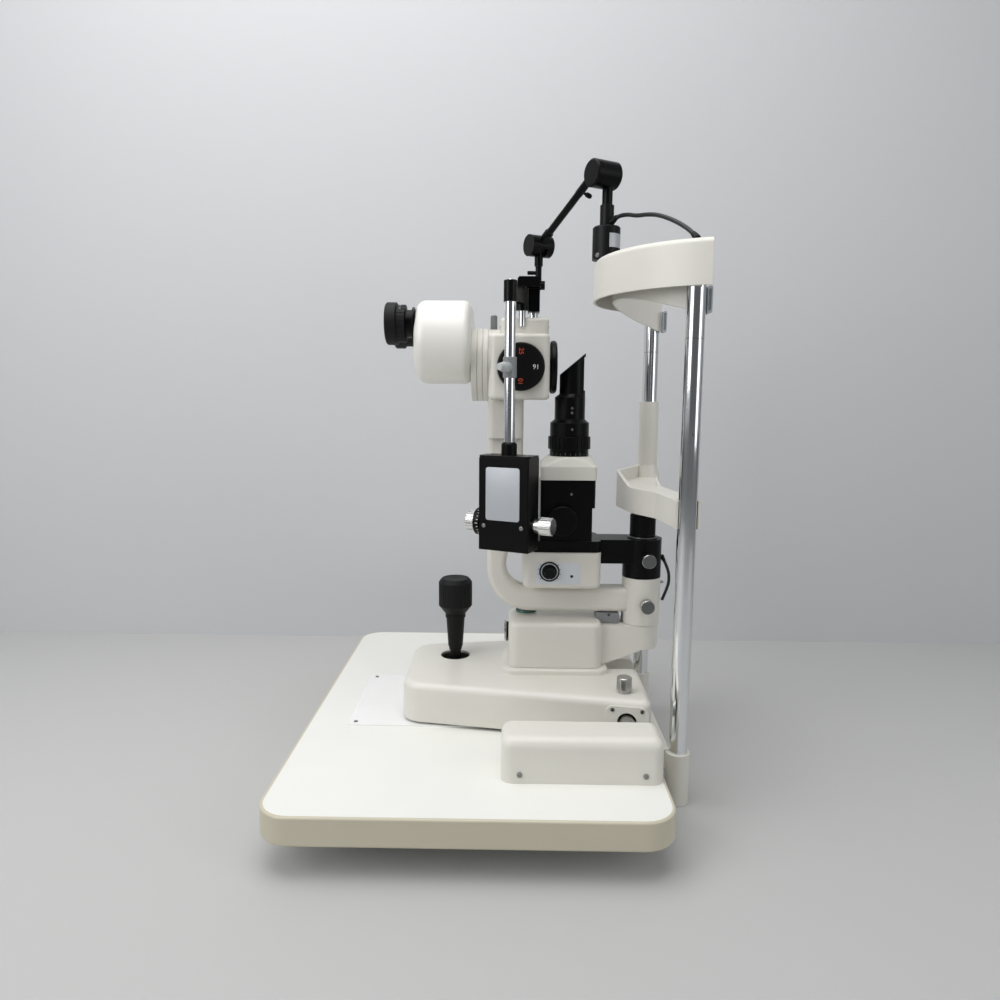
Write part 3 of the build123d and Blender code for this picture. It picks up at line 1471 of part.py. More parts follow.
slit_middle = (slit_left + slit_right) / 2
slit_bottom = housing_base_top + seat_gap
with BuildPart() as slit_housing:
    with BuildSketch(up_plane(slit_bottom, slit_middle - slit_step / 2)):
        RectangleRounded(slit_right - slit_left - slit_step, 2 * slit_half, slit_corner)
    extrude(amount=slit_top - slit_bottom)
    with BuildSketch(up_plane(slit_step_height, slit_middle)):
        RectangleRounded(slit_right - slit_left, 2 * slit_half, slit_corner)
    extrude(amount=slit_top - slit_step_height)
    with BuildSketch(side_plane(-slit_half)):
        with Locations((slit_knob_x, deck + slit_knob_height)):
            Circle(slit_shaft_radius + shaft_gap)
    extrude(amount=-slit_shaft_depth, mode=Mode.SUBTRACT)
    with BuildSketch(up_plane(slit_bottom, slit_middle - slit_step / 2)):
        Circle(filament_radius)
    extrude(amount=slit_top - slit_bottom - seat_gap, mode=Mode.SUBTRACT)
slit_housing.part.label = "slit_housing"
export_step(slit_housing.part, "parts/slit_housing.step")

slit_knob_plane = Plane(
    origin=spot(slit_knob_x, -slit_half - running_gap, slit_knob_height),
    x_dir=(1, 0, 0),
    z_dir=(0, -1, 0),
)
with BuildPart() as slit_knob:
    with BuildSketch(slit_knob_plane.offset(-slit_shaft_depth + 2 * running_gap)):
        Circle(slit_shaft_radius)
    extrude(amount=slit_shaft_depth)
    add(knurled(slit_knob_plane, slit_knob_radius, slit_knob_length, grip_flutes, knob_flute_radius))
slit_knob.part.label = "slit_knob"
export_step(slit_knob.part, "parts/slit_knob.step")

cap_middle = (cap_left + cap_right) / 2
cap_bottom = slit_top + seat_gap
with BuildPart() as slit_cap:
    with BuildSketch(up_plane(cap_bottom, cap_middle)):
        RectangleRounded(cap_right - cap_left, 2 * cap_half, cap_corner)
    extrude(amount=cap_edge - cap_bottom)
    with BuildSketch(up_plane(cap_edge, cap_middle)):
        RectangleRounded(cap_right - cap_left, 2 * cap_half, cap_corner)
    with BuildSketch(up_plane(cap_top, lamp_axis_x)):
        RectangleRounded(2 * cap_top_half, 2 * cap_top_half, cap_top_corner)
    loft()
    with BuildSketch(up_plane(cap_bottom, lamp_axis_x)):
        Circle(tower_spigot_radius + shaft_gap)
    extrude(amount=cap_top - cap_bottom, mode=Mode.SUBTRACT)
slit_cap.part.label = "slit_cap"
export_step(slit_cap.part, "parts/slit_cap.step")

tower_plane = up_plane(0, lamp_axis_x)
scale_top = cap_top + scale_ring_height
turn_top = scale_top + turn_ring_height
with BuildPart() as aperture_ring:
    add(turned(
        tower_plane,
        (tower_spigot_radius + shaft_gap, cap_top + running_gap),
        (scale_ring_radius, cap_top + running_gap),
        (scale_ring_radius, scale_top),
        (turn_ring_radius, scale_top),
        (turn_ring_radius, turn_top - running_gap),
        (tower_spigot_radius + shaft_gap, turn_top - running_gap),
    ))
    with BuildSketch(up_plane(scale_top, lamp_axis_x)):
        with PolarLocations(turn_ring_radius, turn_ring_flutes):
            Circle(turn_flute_radius)
    extrude(amount=turn_ring_height, mode=Mode.SUBTRACT)
aperture_ring.part.label = "aperture_ring"
export_step(aperture_ring.part, "parts/aperture_ring.step")

tower_base_top = turn_top + tower_base_height
tower_cone_top = tower_base_top + tower_cone_height
tower_tube_top = tower_base_top + tower_tube_height
neck_bottom = tower_tube_top + tower_cone_height
neck_top = neck_bottom + tower_neck_height
head_top = neck_top + mirror_head_height
neck_x = lamp_axis_x + tower_neck_shift
with BuildPart() as lamp_tower:
    add(turned(
        tower_plane,
        (0, cap_bottom + seat_gap), (tower_spigot_radius, cap_bottom + seat_gap),
        (tower_spigot_radius, turn_top), (tower_base_radius, turn_top),
        (tower_base_radius, tower_base_top), (tower_tube_radius, tower_cone_top),
        (tower_tube_radius, tower_tube_top), (0, tower_tube_top),
    ))
    with BuildSketch(up_plane(tower_tube_top, lamp_axis_x)):
        Circle(tower_tube_radius)
    with BuildSketch(up_plane(neck_bottom, neck_x)):
        Circle(tower_neck_radius)
    loft()
    with BuildSketch(up_plane(neck_bottom, neck_x)):
        Circle(tower_neck_radius)
    extrude(amount=head_top - neck_bottom)
    with BuildSketch(side_plane(0)):
        Polygon(
            (neck_x - 2 * tower_neck_radius, deck + neck_top - mirror_back_drop),
            (neck_x - tower_neck_radius, deck + neck_top),
            (neck_x + tower_neck_radius, deck + head_top),
            (neck_x + tower_neck_radius, deck + head_top + mirror_head_height),
            (neck_x - 2 * tower_neck_radius, deck + head_top + mirror_head_height),
            align=None,
        )
    extrude(amount=tower_tube_radius, both=True, mode=Mode.SUBTRACT)
    with BuildSketch(side_plane(0)):
        Polygon(
            (neck_x + mirror_toe, deck + neck_bottom + mirror_foot),
            (neck_x + 2 * tower_neck_radius, deck + neck_bottom + mirror_foot),
            (neck_x + 2 * tower_neck_radius, deck + head_top - mirror_wall),
            (neck_x + tower_neck_radius - mirror_wall, deck + head_top - 2 * mirror_wall),
            align=None,
        )
    extrude(amount=mirror_window_half, both=True, mode=Mode.SUBTRACT)
lamp_tower.part.label = "lamp_tower"
export_step(lamp_tower.part, "parts/lamp_tower.step")

# Headrest: the base under the table's edge, posts, forehead frame and its end clips
cross_bar_middle_x = table_width / 2 + seat_gap + cross_bar_depth / 2
bracket_start_x = table_width / 2 - bracket_reach
bracket_end_x = table_width / 2 + seat_gap + cross_bar_depth
bracket_middle_x = (bracket_start_x + bracket_end_x) / 2

with BuildPart() as headrest_base:
    with BuildSketch(Plane.XY.offset(cross_bar_top - cross_bar_height)):
        with Locations((cross_bar_middle_x, 0)):
            Rectangle(cross_bar_depth, 2 * post_half_spacing)
    extrude(amount=cross_bar_height)
    with BuildSketch(Plane.XY.offset(-seat_gap)):
        with Locations((bracket_middle_x, 0)):
            with GridLocations(1, bracket_spacing, 1, 2):
                RectangleRounded(bracket_end_x - bracket_start_x, bracket_width, bracket_thickness)
    extrude(amount=-bracket_thickness)
    with BuildSketch(Plane.XY.offset(-seat_gap - bracket_thickness)):
        with Locations((cross_bar_middle_x, 0)):
            with GridLocations(1, bracket_spacing, 1, 2):
                Rectangle(cross_bar_depth, bracket_width)
    extrude(amount=cross_bar_top)
    with BuildSketch(Plane.XY.offset(socket_bottom)):
        with Locations((post_x, 0)):
            with GridLocations(1, 2 * post_half_spacing, 1, 2):
                Circle(socket_radius)
    extrude(amount=socket_top - socket_bottom)
    with BuildSketch(Plane.XY.offset(post_foot - seat_gap)):
        with Locations((post_x, 0)):
            with GridLocations(1, 2 * post_half_spacing, 1, 2):
                Circle(post_radius + seat_gap)
    extrude(amount=table_length, mode=Mode.SUBTRACT)
    with BuildSketch():
        with Locations((bolt_x, 0)):
            with GridLocations(bracket_bolt_spacing, bracket_spacing, 2, 2):
                Circle(bracket_bolt_radius + seat_gap)
    extrude(amount=-2 * bracket_thickness, mode=Mode.SUBTRACT)
headrest_base.part.label = "headrest_base"
export_step(headrest_base.part, "parts/headrest_base.step")

bolt_seat = -2 * seat_gap - bracket_thickness
with BuildPart() as headrest_bolts:
    with BuildSketch(Plane.XY.offset(bolt_seat)):
        with Locations((bolt_x, 0)):
            with GridLocations(bracket_bolt_spacing, bracket_spacing, 2, 2):
                Circle(bracket_bolt_radius)
    extrude(amount=column_insert_length - bolt_seat)
    with BuildSketch(Plane.XY.offset(bolt_seat)):
        with Locations((bolt_x, 0)):
            with GridLocations(bracket_bolt_spacing, bracket_spacing, 2, 2):
                RegularPolygon(2 * bracket_bolt_radius, nut_sides)
    extrude(amount=-bracket_bolt_head)
headrest_bolts.part.label = "headrest_bolts"
export_step(headrest_bolts.part, "parts/headrest_bolts.step")

post_top = deck + band_top - band_wall - seat_gap
with BuildPart() as headrest_posts:
    with BuildSketch(Plane.XY.offset(post_foot)):
        with Locations((post_x, 0)):
            with GridLocations(1, 2 * post_half_spacing, 1, 2):
                Circle(post_radius)
    extrude(amount=post_top - post_foot)
    with BuildSketch(up_plane(canthus_height)):
        with Locations((post_x, 0)):
            with GridLocations(1, 2 * post_half_spacing, 1, 2):
                Circle(post_radius)
                Circle(post_radius - canthus_depth, mode=Mode.SUBTRACT)
    extrude(amount=canthus_width, mode=Mode.SUBTRACT)
headrest_posts.part.label = "headrest_posts"
export_step(headrest_posts.part, "parts/headrest_posts.step")

band_outer = band_centre_radius + band_half_width
band_inner = band_centre_radius - band_half_width
band_low = band_bottom - band_inner_drop
band_front_x = band_centre_x - band_inner
drop_slope = band_inner_drop / (band_end_x - band_front_x)


def band_ring(outer, inner, bottom, top):
    """A stretch of ring round the forehead, cut off square at both ends."""
    with BuildPart() as ring:
        with BuildSketch(up_plane(bottom)):
            with Locations((band_centre_x, 0)):
                Circle(outer)
                Circle(inner, mode=Mode.SUBTRACT)
            with Locations((band_end_x + band_outer, 0)):
                Rectangle(2 * band_outer, 2 * band_outer, mode=Mode.SUBTRACT)
        extrude(amount=top - bottom)
    return ring.part


with BuildPart() as forehead_frame:
    add(band_ring(band_outer, band_inner, band_low, band_top))
    fillet(
        forehead_frame.faces().sort_by(Axis.Z)[-1].edges().filter_by(GeomType.CIRCLE), band_round
    )
    add(
        band_ring(band_outer - band_wall, band_inner + band_wall, band_low, band_top - band_wall),
        mode=Mode.SUBTRACT,
    )
    add(
        band_ring(band_outer, band_outer - band_wall - seat_gap, band_low, band_bottom),
        mode=Mode.SUBTRACT,
    )
    with BuildSketch(side_plane(0)):
        Polygon(
            (band_front_x - band_outer, deck + band_low),
            (band_front_x - band_outer, deck + band_bottom),
            (band_front_x, deck + band_bottom),
            (band_end_x, deck + band_bottom - drop_slope * (band_end_x - band_front_x)),
            align=None,
        )
    extrude(amount=band_outer, both=True, mode=Mode.SUBTRACT)
forehead_frame.part.label = "forehead_frame"
export_step(forehead_frame.part, "parts/forehead_frame.step")

inner_end_y = sqrt((band_inner + band_wall / 2) ** 2 - (band_centre_x - band_end_x) ** 2)
with BuildPart() as forehead_clips:
    with BuildSketch(up_plane(band_low, band_end_x + seat_gap + clip_thickness / 2)):
        with GridLocations(1, 2 * inner_end_y, 1, 2):
            Rectangle(clip_thickness, clip_width)
    extrude(amount=clip_height)
    fillet(forehead_clips.edges().filter_by(Axis.Y), clip_round)
    with BuildSketch(side_plane(0)):
        with Locations((band_end_x + seat_gap + clip_thickness / 2, deck + band_low + clip_height / 2)):
            SlotOverall(clip_height - clip_thickness, clip_thickness / 2, rotation=90)
    extrude(amount=band_outer, both=True, mode=Mode.SUBTRACT)
forehead_clips.part.label = "forehead_clips"
export_step(forehead_clips.part, "parts/forehead_clips.step")

# Chinrest: a hollow moulding with a raised lip, a sleeve on the far post and a near fork
fork_half = post_radius + running_gap
fork_root_y = -post_half_spacing + fork_depth
sleeve_y = post_half_spacing


def chin_block(inset, bottom, top):
    """The chinrest's plan drawn in by an inset, raised between two heights."""
    with BuildPart() as block:
        with BuildSketch(up_plane(bottom)) as plan:
            Polygon(
                (post_x - fork_half - fork_arm, fork_root_y),
                (post_x - chin_near_reach, fork_root_y / 2),
                (post_x - chin_mid_reach, -chin_wing),
                (post_x - chin_far_reach, chin_rise_y),
                (post_x - chin_sleeve_radius - sleeve_lap, sleeve_y),
                (post_x + chin_sleeve_radius + sleeve_lap, sleeve_y),
                (post_x - chin_back_dip, chin_wing),
                (post_x + fork_half + fork_arm, fork_root_y),
                align=None,
            )
            along = plan.vertices().sort_by(Axis.Y)
            fillet(along[2:6], chin_bend)
            if inset > 0:
                offset(amount=-inset)
        extrude(amount=top - bottom)
    return block.part


chin_outer = chin_block(0, chin_bottom, chin_lip_top)
chin_hollow = chin_block(chin_wall, chin_bottom, chin_top - chin_wall)
chin_dish = chin_block(chin_rim, chin_top, chin_lip_top)

with BuildPart() as chinrest:
    add(chin_outer)
    add(chin_dish, mode=Mode.SUBTRACT)
    add(chin_hollow, mode=Mode.SUBTRACT)
    with BuildSketch(end_plane(post_x, 0, 0)) as rise:
        Polygon(
            (-post_half_spacing, chin_top),
            (chin_flat_y, chin_top),
            (chin_rise_y, chin_lip_top),
            (chin_rise_y, chin_lip_top + chin_rim),
            (-post_half_spacing, chin_lip_top + chin_rim),
            align=None,
        )
        foot = rise.vertices().sort_by_distance((chin_flat_y, chin_top, 0))[0]
        fillet(foot, chin_bend)
    extrude(amount=post_half_spacing, both=True, mode=Mode.SUBTRACT)
    with BuildSketch(up_plane(chin_top, post_x + post_half_spacing / 2, sleeve_y / 2)):
        Rectangle(post_half_spacing + 2 * chin_rim, sleeve_y + post_half_spacing)
    extrude(amount=chin_lip_top, mode=Mode.SUBTRACT)
    add(turned(
        up_plane(0, post_x, sleeve_y),
        (0, chin_bottom),
        (chin_sleeve_radius, chin_bottom),
        (chin_sleeve_radius + sleeve_flare / 2, chin_top),
        (chin_sleeve_radius, chin_top + sleeve_flare_height),
        (chin_sleeve_radius, chin_sleeve_top),
        (0, chin_sleeve_top),
    ))
    fork_middle_y = -post_half_spacing + fork_depth / 2
    with BuildSketch(up_plane(chin_bottom, post_x, fork_middle_y)):
        with GridLocations(2 * fork_half + fork_arm, 1, 2, 1):
            Rectangle(fork_arm, fork_depth + 2 * fork_arm)
    extrude(amount=chin_top - chin_bottom)
    with BuildSketch(up_plane(chin_bottom, post_x, sleeve_y)):
        Circle(post_radius + shaft_gap)
    extrude(amount=chin_sleeve_top, mode=Mode.SUBTRACT)
chinrest.part.label = "chinrest"
export_step(chinrest.part, "parts/chinrest.step")

# Fixation lamp: its base on the band, the swivelling stem, the arm and the hanging lamp
fixation_plane = up_plane(0, fixation_x)
base_top_height = band_top + fixation_base_height
stem_foot = base_top_height - fixation_bore_depth / 2

with BuildPart() as fixation_base:
    add(turned(
        fixation_plane,
        (0, band_top + seat_gap), (fixation_base_radius, band_top + seat_gap),
        (fixation_base_radius, base_top_height - fixation_base_round),
        (fixation_base_radius - fixation_base_round, base_top_height),
        (fixation_tube_radius, base_top_height), (fixation_tube_radius, fixation_tube_top),
        (fixation_stem_radius + shaft_gap, fixation_tube_top),
        (fixation_stem_radius + shaft_gap, stem_foot), (0, stem_foot),
    ))
fixation_base.part.label = "fixation_base"
export_step(fixation_base.part, "parts/fixation_base.step")

elbow_origin = Vector(*spot(fixation_x, 0, upper_elbow_height))
upper_plane = Plane(origin=elbow_origin, x_dir=(0, 0, 1), z_dir=elbow_axis)
with BuildPart() as fixation_stem:
    with BuildSketch(fixation_plane.offset(stem_foot + running_gap)):
        Circle(fixation_stem_radius)
    extrude(amount=upper_elbow_height - stem_foot)
    with BuildSketch(upper_plane.offset(upper_housing_start)):
        Circle(upper_elbow_radius)
    extrude(amount=upper_housing_end - upper_housing_start)
    chamfer(fixation_stem.faces().sort_by(Axis(elbow_origin, elbow_axis))[0].edges(), fixation_base_round)
    with BuildSketch(upper_plane.offset(upper_housing_end)):
        Circle(elbow_pin_radius + shaft_gap)
    extrude(amount=-elbow_pin_depth - seat_gap, mode=Mode.SUBTRACT)
fixation_stem.part.label = "fixation_stem"
export_step(fixation_stem.part, "parts/fixation_stem.step")

knuckle_start = upper_housing_end + running_gap
knuckle_middle = (knuckle_start + upper_knuckle_end) / 2
arm_direction = (
    elbow_across * cos(radians(fixation_arm_drop)) - Vector(0, 0, 1) * sin(radians(fixation_arm_drop))
)
arm_top = elbow_origin + elbow_axis * knuckle_middle
arm_end = arm_top + arm_direction * fixation_arm_length
bar_plane = Plane(origin=arm_top, x_dir=elbow_axis, z_dir=arm_direction)
lower_plane = Plane(origin=arm_end, x_dir=elbow_across, z_dir=elbow_axis)
slot_reach = 2 * lower_elbow_radius
with BuildPart() as fixation_arm:
    with BuildSketch(upper_plane.offset(knuckle_start)):
        Circle(upper_elbow_radius)
    extrude(amount=upper_knuckle_end - knuckle_start)
    chamfer(fixation_arm.faces().sort_by(Axis(elbow_origin, elbow_axis))[-1].edges(), fixation_base_round)
    with BuildSketch(upper_plane.offset(knuckle_start)):
        Circle(elbow_pin_radius)
    extrude(amount=running_gap - elbow_pin_depth)
    with BuildSketch(bar_plane):
        Circle(fixation_bar_radius)
    extrude(amount=fixation_arm_length)
    with BuildSketch(bar_plane.offset(upper_elbow_radius / 2)):
        Circle(fixation_sleeve_radius - fixation_sleeve_step)
    extrude(amount=fixation_sleeve_length)
    with BuildSketch(bar_plane.offset(fixation_arm_length - fixation_sleeve_length)):
        Circle(fixation_sleeve_radius)
    extrude(amount=fixation_sleeve_length)
    with BuildSketch(lower_plane):
        Circle(lower_elbow_radius)
    extrude(amount=lower_elbow_half, both=True)
    with BuildSketch(lower_plane):
        Circle(lower_core_radius + running_gap)
    extrude(amount=lower_core_half + running_gap, both=True, mode=Mode.SUBTRACT)
    with BuildSketch(lower_plane):
        Polygon(
            (0, 0),
            (-slot_reach * sin(radians(lower_slot_angle)), slot_reach * cos(radians(lower_slot_angle))),
            (0, 2 * slot_reach),
            (slot_reach * sin(radians(lower_slot_angle)), slot_reach * cos(radians(lower_slot_angle))),
            align=None,
        )
    extrude(amount=lower_slot_half, both=True, mode=Mode.SUBTRACT)
fixation_arm.part.label = "fixation_arm"
export_step(fixation_arm.part, "parts/fixation_arm.step")

hang_plane = Plane(origin=arm_end, x_dir=(1, 0, 0), z_dir=(0, 0, -1))
lamp_centre = arm_end - Vector(0, 0, 1) * lamp_neck_length
lamp_plane = Plane(origin=lamp_centre, x_dir=(0, 1, 0), z_dir=(1, 0, 0))
lever_plane = Plane(
    origin=arm_end - Vector(0, 0, 1) * thumb_lever_drop, x_dir=(0, 1, 0), z_dir=(-1, 0, 0)
)
with BuildPart() as fixation_lamp:
    with BuildSketch(lower_plane):
        Circle(lower_core_radius)
    extrude(amount=lower_core_half, both=True)
    with BuildSketch(hang_plane):
        Circle(lamp_stem_radius)
    extrude(amount=lamp_stem_length)
    with BuildSketch(hang_plane):
        Circle(lamp_neck_radius)
    extrude(amount=lamp_neck_length)
    with BuildSketch(lamp_plane):
        Circle(lamp_head_radius)
    extrude(amount=lamp_head_length / 2, both=True)
    with BuildSketch(lever_plane):
        Circle(thumb_lever_radius)
    extrude(amount=thumb_lever_length)
    lever_tip = fixation_lamp.faces().sort_by(Axis.X)[0]
    fillet(lever_tip.edges(), thumb_lever_radius / 2)
fixation_lamp.part.label = "fixation_lamp"
export_step(fixation_lamp.part, "parts/fixation_lamp.step")

# Cords: the fixation lamp's cable and the loop of the illumination cable
lamp_cable_route = [
    (147.1, -6.3, 560.8),
    (151.9, -12.0, 565.1),
    (161.5, -24.0, 564.4),
    (169.2, -36.0, 560.0),
    (177.7, -50.0, 558.5),
    (187.1, -66.0, 554.4),
    (197.9, -88.0, 544.4),
    (206.0, -106.0, 534.2),
    (211.1, -116.0, 526.7),
    (214.1, -122.0, 520.6),
]
illumination_cable_route = [
    (216.0, -3.0, 182.0),
    (224.0, -3.0, 168.0),
    (226.0, -3.0, 153.0),
    (223.0, -3.0, 141.0),
    (218.0, -3.0, 129.0),
]


def cord_tube(name, route, radius):
    """A round tube along straight runs joined by arcs as large as the runs allow."""
    points = [Vector(*spot(*place)) for place in route]
    runs = [end - start for start, end in zip(points, points[1:])]
    radii = []
    for before, after in zip(runs, runs[1:]):
        half_turn = radians(before.get_angle(after)) / 2
        radii.append(bend_share * min(before.length, after.length) / tan(half_turn))
    with BuildPart() as tube:
        with BuildLine() as path:
            FilletPolyline(*points, radius=radii)
        start = Plane(origin=points[0], z_dir=runs[0].normalized())
        with BuildSketch(start):
            Circle(radius)
        sweep()
    length = path.wire().length
    print(name, "radii", [round(r, 1) for r in radii], "volume", round(tube.part.volume),
          "section by length", round(pi * radius**2 * length))
    tube.part.label = name
    export_step(tube.part, f"parts/{name}.step")


cord_tube("lamp_cable", lamp_cable_route, lamp_cable_radius)
cord_tube("illumination_cable", illumination_cable_route, illumination_cable_radius)
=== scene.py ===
# %% [markdown]
# # A slit lamp on its table top
#
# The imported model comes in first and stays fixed: every solid part, its place and its
# joints are given. This script adds what a solid model lacks: finishes, small screws,
# dial figures, scale marks, the two leads, light and a camera.

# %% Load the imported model
import json
import math

import bpy
from mathutils import Matrix, Vector


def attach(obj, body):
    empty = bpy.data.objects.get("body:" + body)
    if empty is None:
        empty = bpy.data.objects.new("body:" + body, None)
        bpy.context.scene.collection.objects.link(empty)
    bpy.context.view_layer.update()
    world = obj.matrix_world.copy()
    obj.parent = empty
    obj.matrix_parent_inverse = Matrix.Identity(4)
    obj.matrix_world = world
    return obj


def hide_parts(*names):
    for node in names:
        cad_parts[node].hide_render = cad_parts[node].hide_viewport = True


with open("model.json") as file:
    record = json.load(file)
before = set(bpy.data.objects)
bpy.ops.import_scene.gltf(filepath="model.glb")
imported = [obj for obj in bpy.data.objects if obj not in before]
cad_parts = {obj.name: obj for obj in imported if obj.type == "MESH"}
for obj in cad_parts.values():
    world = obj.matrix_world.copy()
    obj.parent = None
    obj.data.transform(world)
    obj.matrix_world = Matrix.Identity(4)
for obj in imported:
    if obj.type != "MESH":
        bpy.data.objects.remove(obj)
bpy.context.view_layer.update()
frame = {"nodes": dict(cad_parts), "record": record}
nodes = frame["nodes"]

# %% [markdown]
# Sizes on the drawing of a slit lamp are given in millimetres above the table's white
# surface, so two small helpers turn them into Blender's metres. Everything below is
# written in those drawing sizes. A third helper adds a maths node to any node tree.

# %% Millimetres above the table
DECK = 28.0


def at(x, y, z):
    """A drawing point in millimetres above the table, as a vector in metres."""
    return Vector((x, y, z + DECK)) / 1000


def mm(size):
    """A length in millimetres, in metres."""
    return size / 1000


def deselect():
    """Nothing stays selected, so that the next operator touches only its own piece."""
    if bpy.context.mode != "OBJECT":
        bpy.ops.object.mode_set(mode="OBJECT")
    bpy.ops.object.select_all(action="DESELECT")


def sum_node(tree, kind, first, second=None, third=None):
    """A maths node fed by sockets or by plain numbers."""
    node = tree.nodes.new("ShaderNodeMath")
    node.operation = kind
    for place, source in enumerate((first, second, third)):
        if source is None:
            continue
        if isinstance(source, (int, float)):
            node.inputs[place].default_value = source
        else:
            tree.links.new(source, node.inputs[place])
    return node.outputs[0]


# %% [markdown]
# The camera stands at the operator's left, level with the carriage, and looks slightly
# down. Its place and lens were found from the table's corners and the two posts, whose
# real sizes are known.

# %% Camera
CAMERA_PLACE = (37.6, -880.7, 367.6)
CAMERA_PITCH, CAMERA_YAW, CAMERA_ROLL = 7.81, 0.85, 0.41
SENSOR_WIDTH, LENS_LENGTH = 36.0, 27.2

deselect()
bpy.ops.object.camera_add(location=at(*CAMERA_PLACE))
camera = bpy.context.object
camera.name = "camera"
pitch = Matrix.Rotation(math.radians(90 - CAMERA_PITCH), 4, "X")
yaw = Matrix.Rotation(math.radians(CAMERA_YAW), 4, "Z")
roll = Matrix.Rotation(math.radians(CAMERA_ROLL), 4, "Z")
camera.rotation_euler = (yaw @ pitch @ roll).to_euler()
camera.data.sensor_width = SENSOR_WIDTH
camera.data.lens = LENS_LENGTH
camera.data.clip_start = mm(10)
bpy.context.scene.camera = camera
print("camera at", tuple(round(c, 3) for c in camera.location))

# %% [markdown]
# A pale floor runs back to a pale wall, as in a small photo studio. The floor lies just
# under the post sockets, the lowest part of the top.

# %% Floor and wall
FLOOR_HEIGHT = -61.2
WALL_DISTANCE = 427.0
STAGE_REACH = 9000.0
FLOOR_FINISH = ((0.52, 0.52, 0.51), 0.6)
WALL_FINISH = ((0.62, 0.625, 0.64), 0.9)
STAGE_SHEEN = 0.2


def finish_stage(piece, colour, roughness):
    """A plain pale finish for a piece of the stage."""
    surface = bpy.data.materials.new(piece.name)
    surface.use_nodes = True
    shader = surface.node_tree.nodes["Principled BSDF"]
    shader.inputs["Base Color"].default_value = (*colour, 1)
    shader.inputs["Roughness"].default_value = roughness
    shader.inputs["Specular IOR Level"].default_value = STAGE_SHEEN
    piece.data.materials.append(surface)


deselect()
bpy.ops.mesh.primitive_plane_add(size=mm(2 * STAGE_REACH), location=at(0, 0, FLOOR_HEIGHT))
floor = bpy.context.object
floor.name = "floor"
finish_stage(floor, *FLOOR_FINISH)

deselect()
bpy.ops.mesh.primitive_plane_add(
    size=mm(2 * STAGE_REACH), location=at(0, WALL_DISTANCE, FLOOR_HEIGHT),
    rotation=(math.radians(90), 0, 0),
)
wall = bpy.context.object
wall.name = "wall"
finish_stage(wall, *WALL_FINISH)
print("floor at", FLOOR_HEIGHT, "wall at", WALL_DISTANCE)

# %% [markdown]
# The wall is clear when seen from its back, so that the instrument can also be looked at
# from behind. The node that tells a front from a back decides between paint and glass.

# %% A wall that is clear from behind
wall_tree = wall.data.materials[0].node_tree
seen_side = wall_tree.nodes.new("ShaderNodeNewGeometry")
clear_back = wall_tree.nodes.new("ShaderNodeBsdfTransparent")
either = wall_tree.nodes.new("ShaderNodeMixShader")
wall_tree.links.new(seen_side.outputs["Backfacing"], either.inputs["Fac"])
wall_tree.links.new(wall_tree.nodes["Principled BSDF"].outputs["BSDF"], either.inputs[1])
wall_tree.links.new(clear_back.outputs["BSDF"], either.inputs[2])
wall_tree.links.new(either.outputs["Shader"], wall_tree.nodes["Material Output"].inputs["Surface"])

# %% [markdown]
# Light comes from a wide ceiling panel and a softbox on the operator's side, with a weak
# fill from the right. Wide lamps give the soft shadows and the long highlights that show
# the round forms of the drum and the posts.

# %% Lamps
LAMPS = (
    ("ceiling", (-150, -250, 1500), (60, 0, 100), (1500, 1100), 15.0),
    ("softbox_left", (-1100, -900, 900), (40, 0, 220), (900, 1100), 9.5),
    ("fill_right", (1300, -900, 700), (60, 0, 200), (700, 1000), 3.5),
)
for name, place, target, size, power in LAMPS:
    deselect()
    bpy.ops.object.light_add(type="AREA", location=at(*place))
    lamp = bpy.context.object
    lamp.name = name
    lamp.data.shape = "RECTANGLE"
    lamp.data.size, lamp.data.size_y = mm(size[0]), mm(size[1])
    lamp.data.energy = power
    lamp.visible_camera = False
    aim = at(*target) - lamp.location
    lamp.rotation_euler = aim.to_track_quat("-Z", "Y").to_euler()
    print("lamp", name, power, "watts")

# %% [markdown]
# The room round the stage is dim in a wide band behind the viewer and lighter to both
# sides, which puts the dark streak down the middle of each chrome post. The band fades out
# on the bearing of each direction. To the eye itself the room is evenly pale.

# %% Room
ROOM_COLOUR = (0.86, 0.89, 0.93)
ROOM_LIGHT, ROOM_SHADE, ROOM_SEEN = 0.45, 0.13, 0.62
SHADE_HALF, SHADE_BLUR = 0.62, 0.16

surroundings = bpy.data.worlds.new("studio")
surroundings.use_nodes = True
room = surroundings.node_tree
backdrop = room.nodes["Background"]
backdrop.inputs["Color"].default_value = (*ROOM_COLOUR, 1)
axes = room.nodes.new("ShaderNodeSeparateXYZ")
room.links.new(room.nodes.new("ShaderNodeTexCoord").outputs["Generated"], axes.inputs["Vector"])
towards = sum_node(room, "MULTIPLY", axes.outputs["Y"], -1)
bearing = sum_node(room, "ARCTAN2", axes.outputs["X"], towards)
shade = room.nodes.new("ShaderNodeMapRange")
shade.interpolation_type = "SMOOTHSTEP"
room.links.new(sum_node(room, "ABSOLUTE", bearing), shade.inputs["Value"])
shade.inputs["From Min"].default_value = SHADE_HALF - SHADE_BLUR
shade.inputs["From Max"].default_value = SHADE_HALF + SHADE_BLUR
shade.inputs["To Min"].default_value = ROOM_SHADE
shade.inputs["To Max"].default_value = ROOM_LIGHT
seen = room.nodes.new("ShaderNodeMix")
sight = room.nodes.new("ShaderNodeLightPath")
room.links.new(sight.outputs["Is Camera Ray"], seen.inputs["Factor"])
room.links.new(shade.outputs["Result"], seen.inputs["A"])
seen.inputs["B"].default_value = ROOM_SEEN
room.links.new(seen.outputs["Result"], backdrop.inputs["Strength"])
bpy.context.scene.world = surroundings
bpy.context.scene.view_settings.view_transform = "Standard"
print("room", ROOM_LIGHT, "dim behind the viewer", ROOM_SHADE)

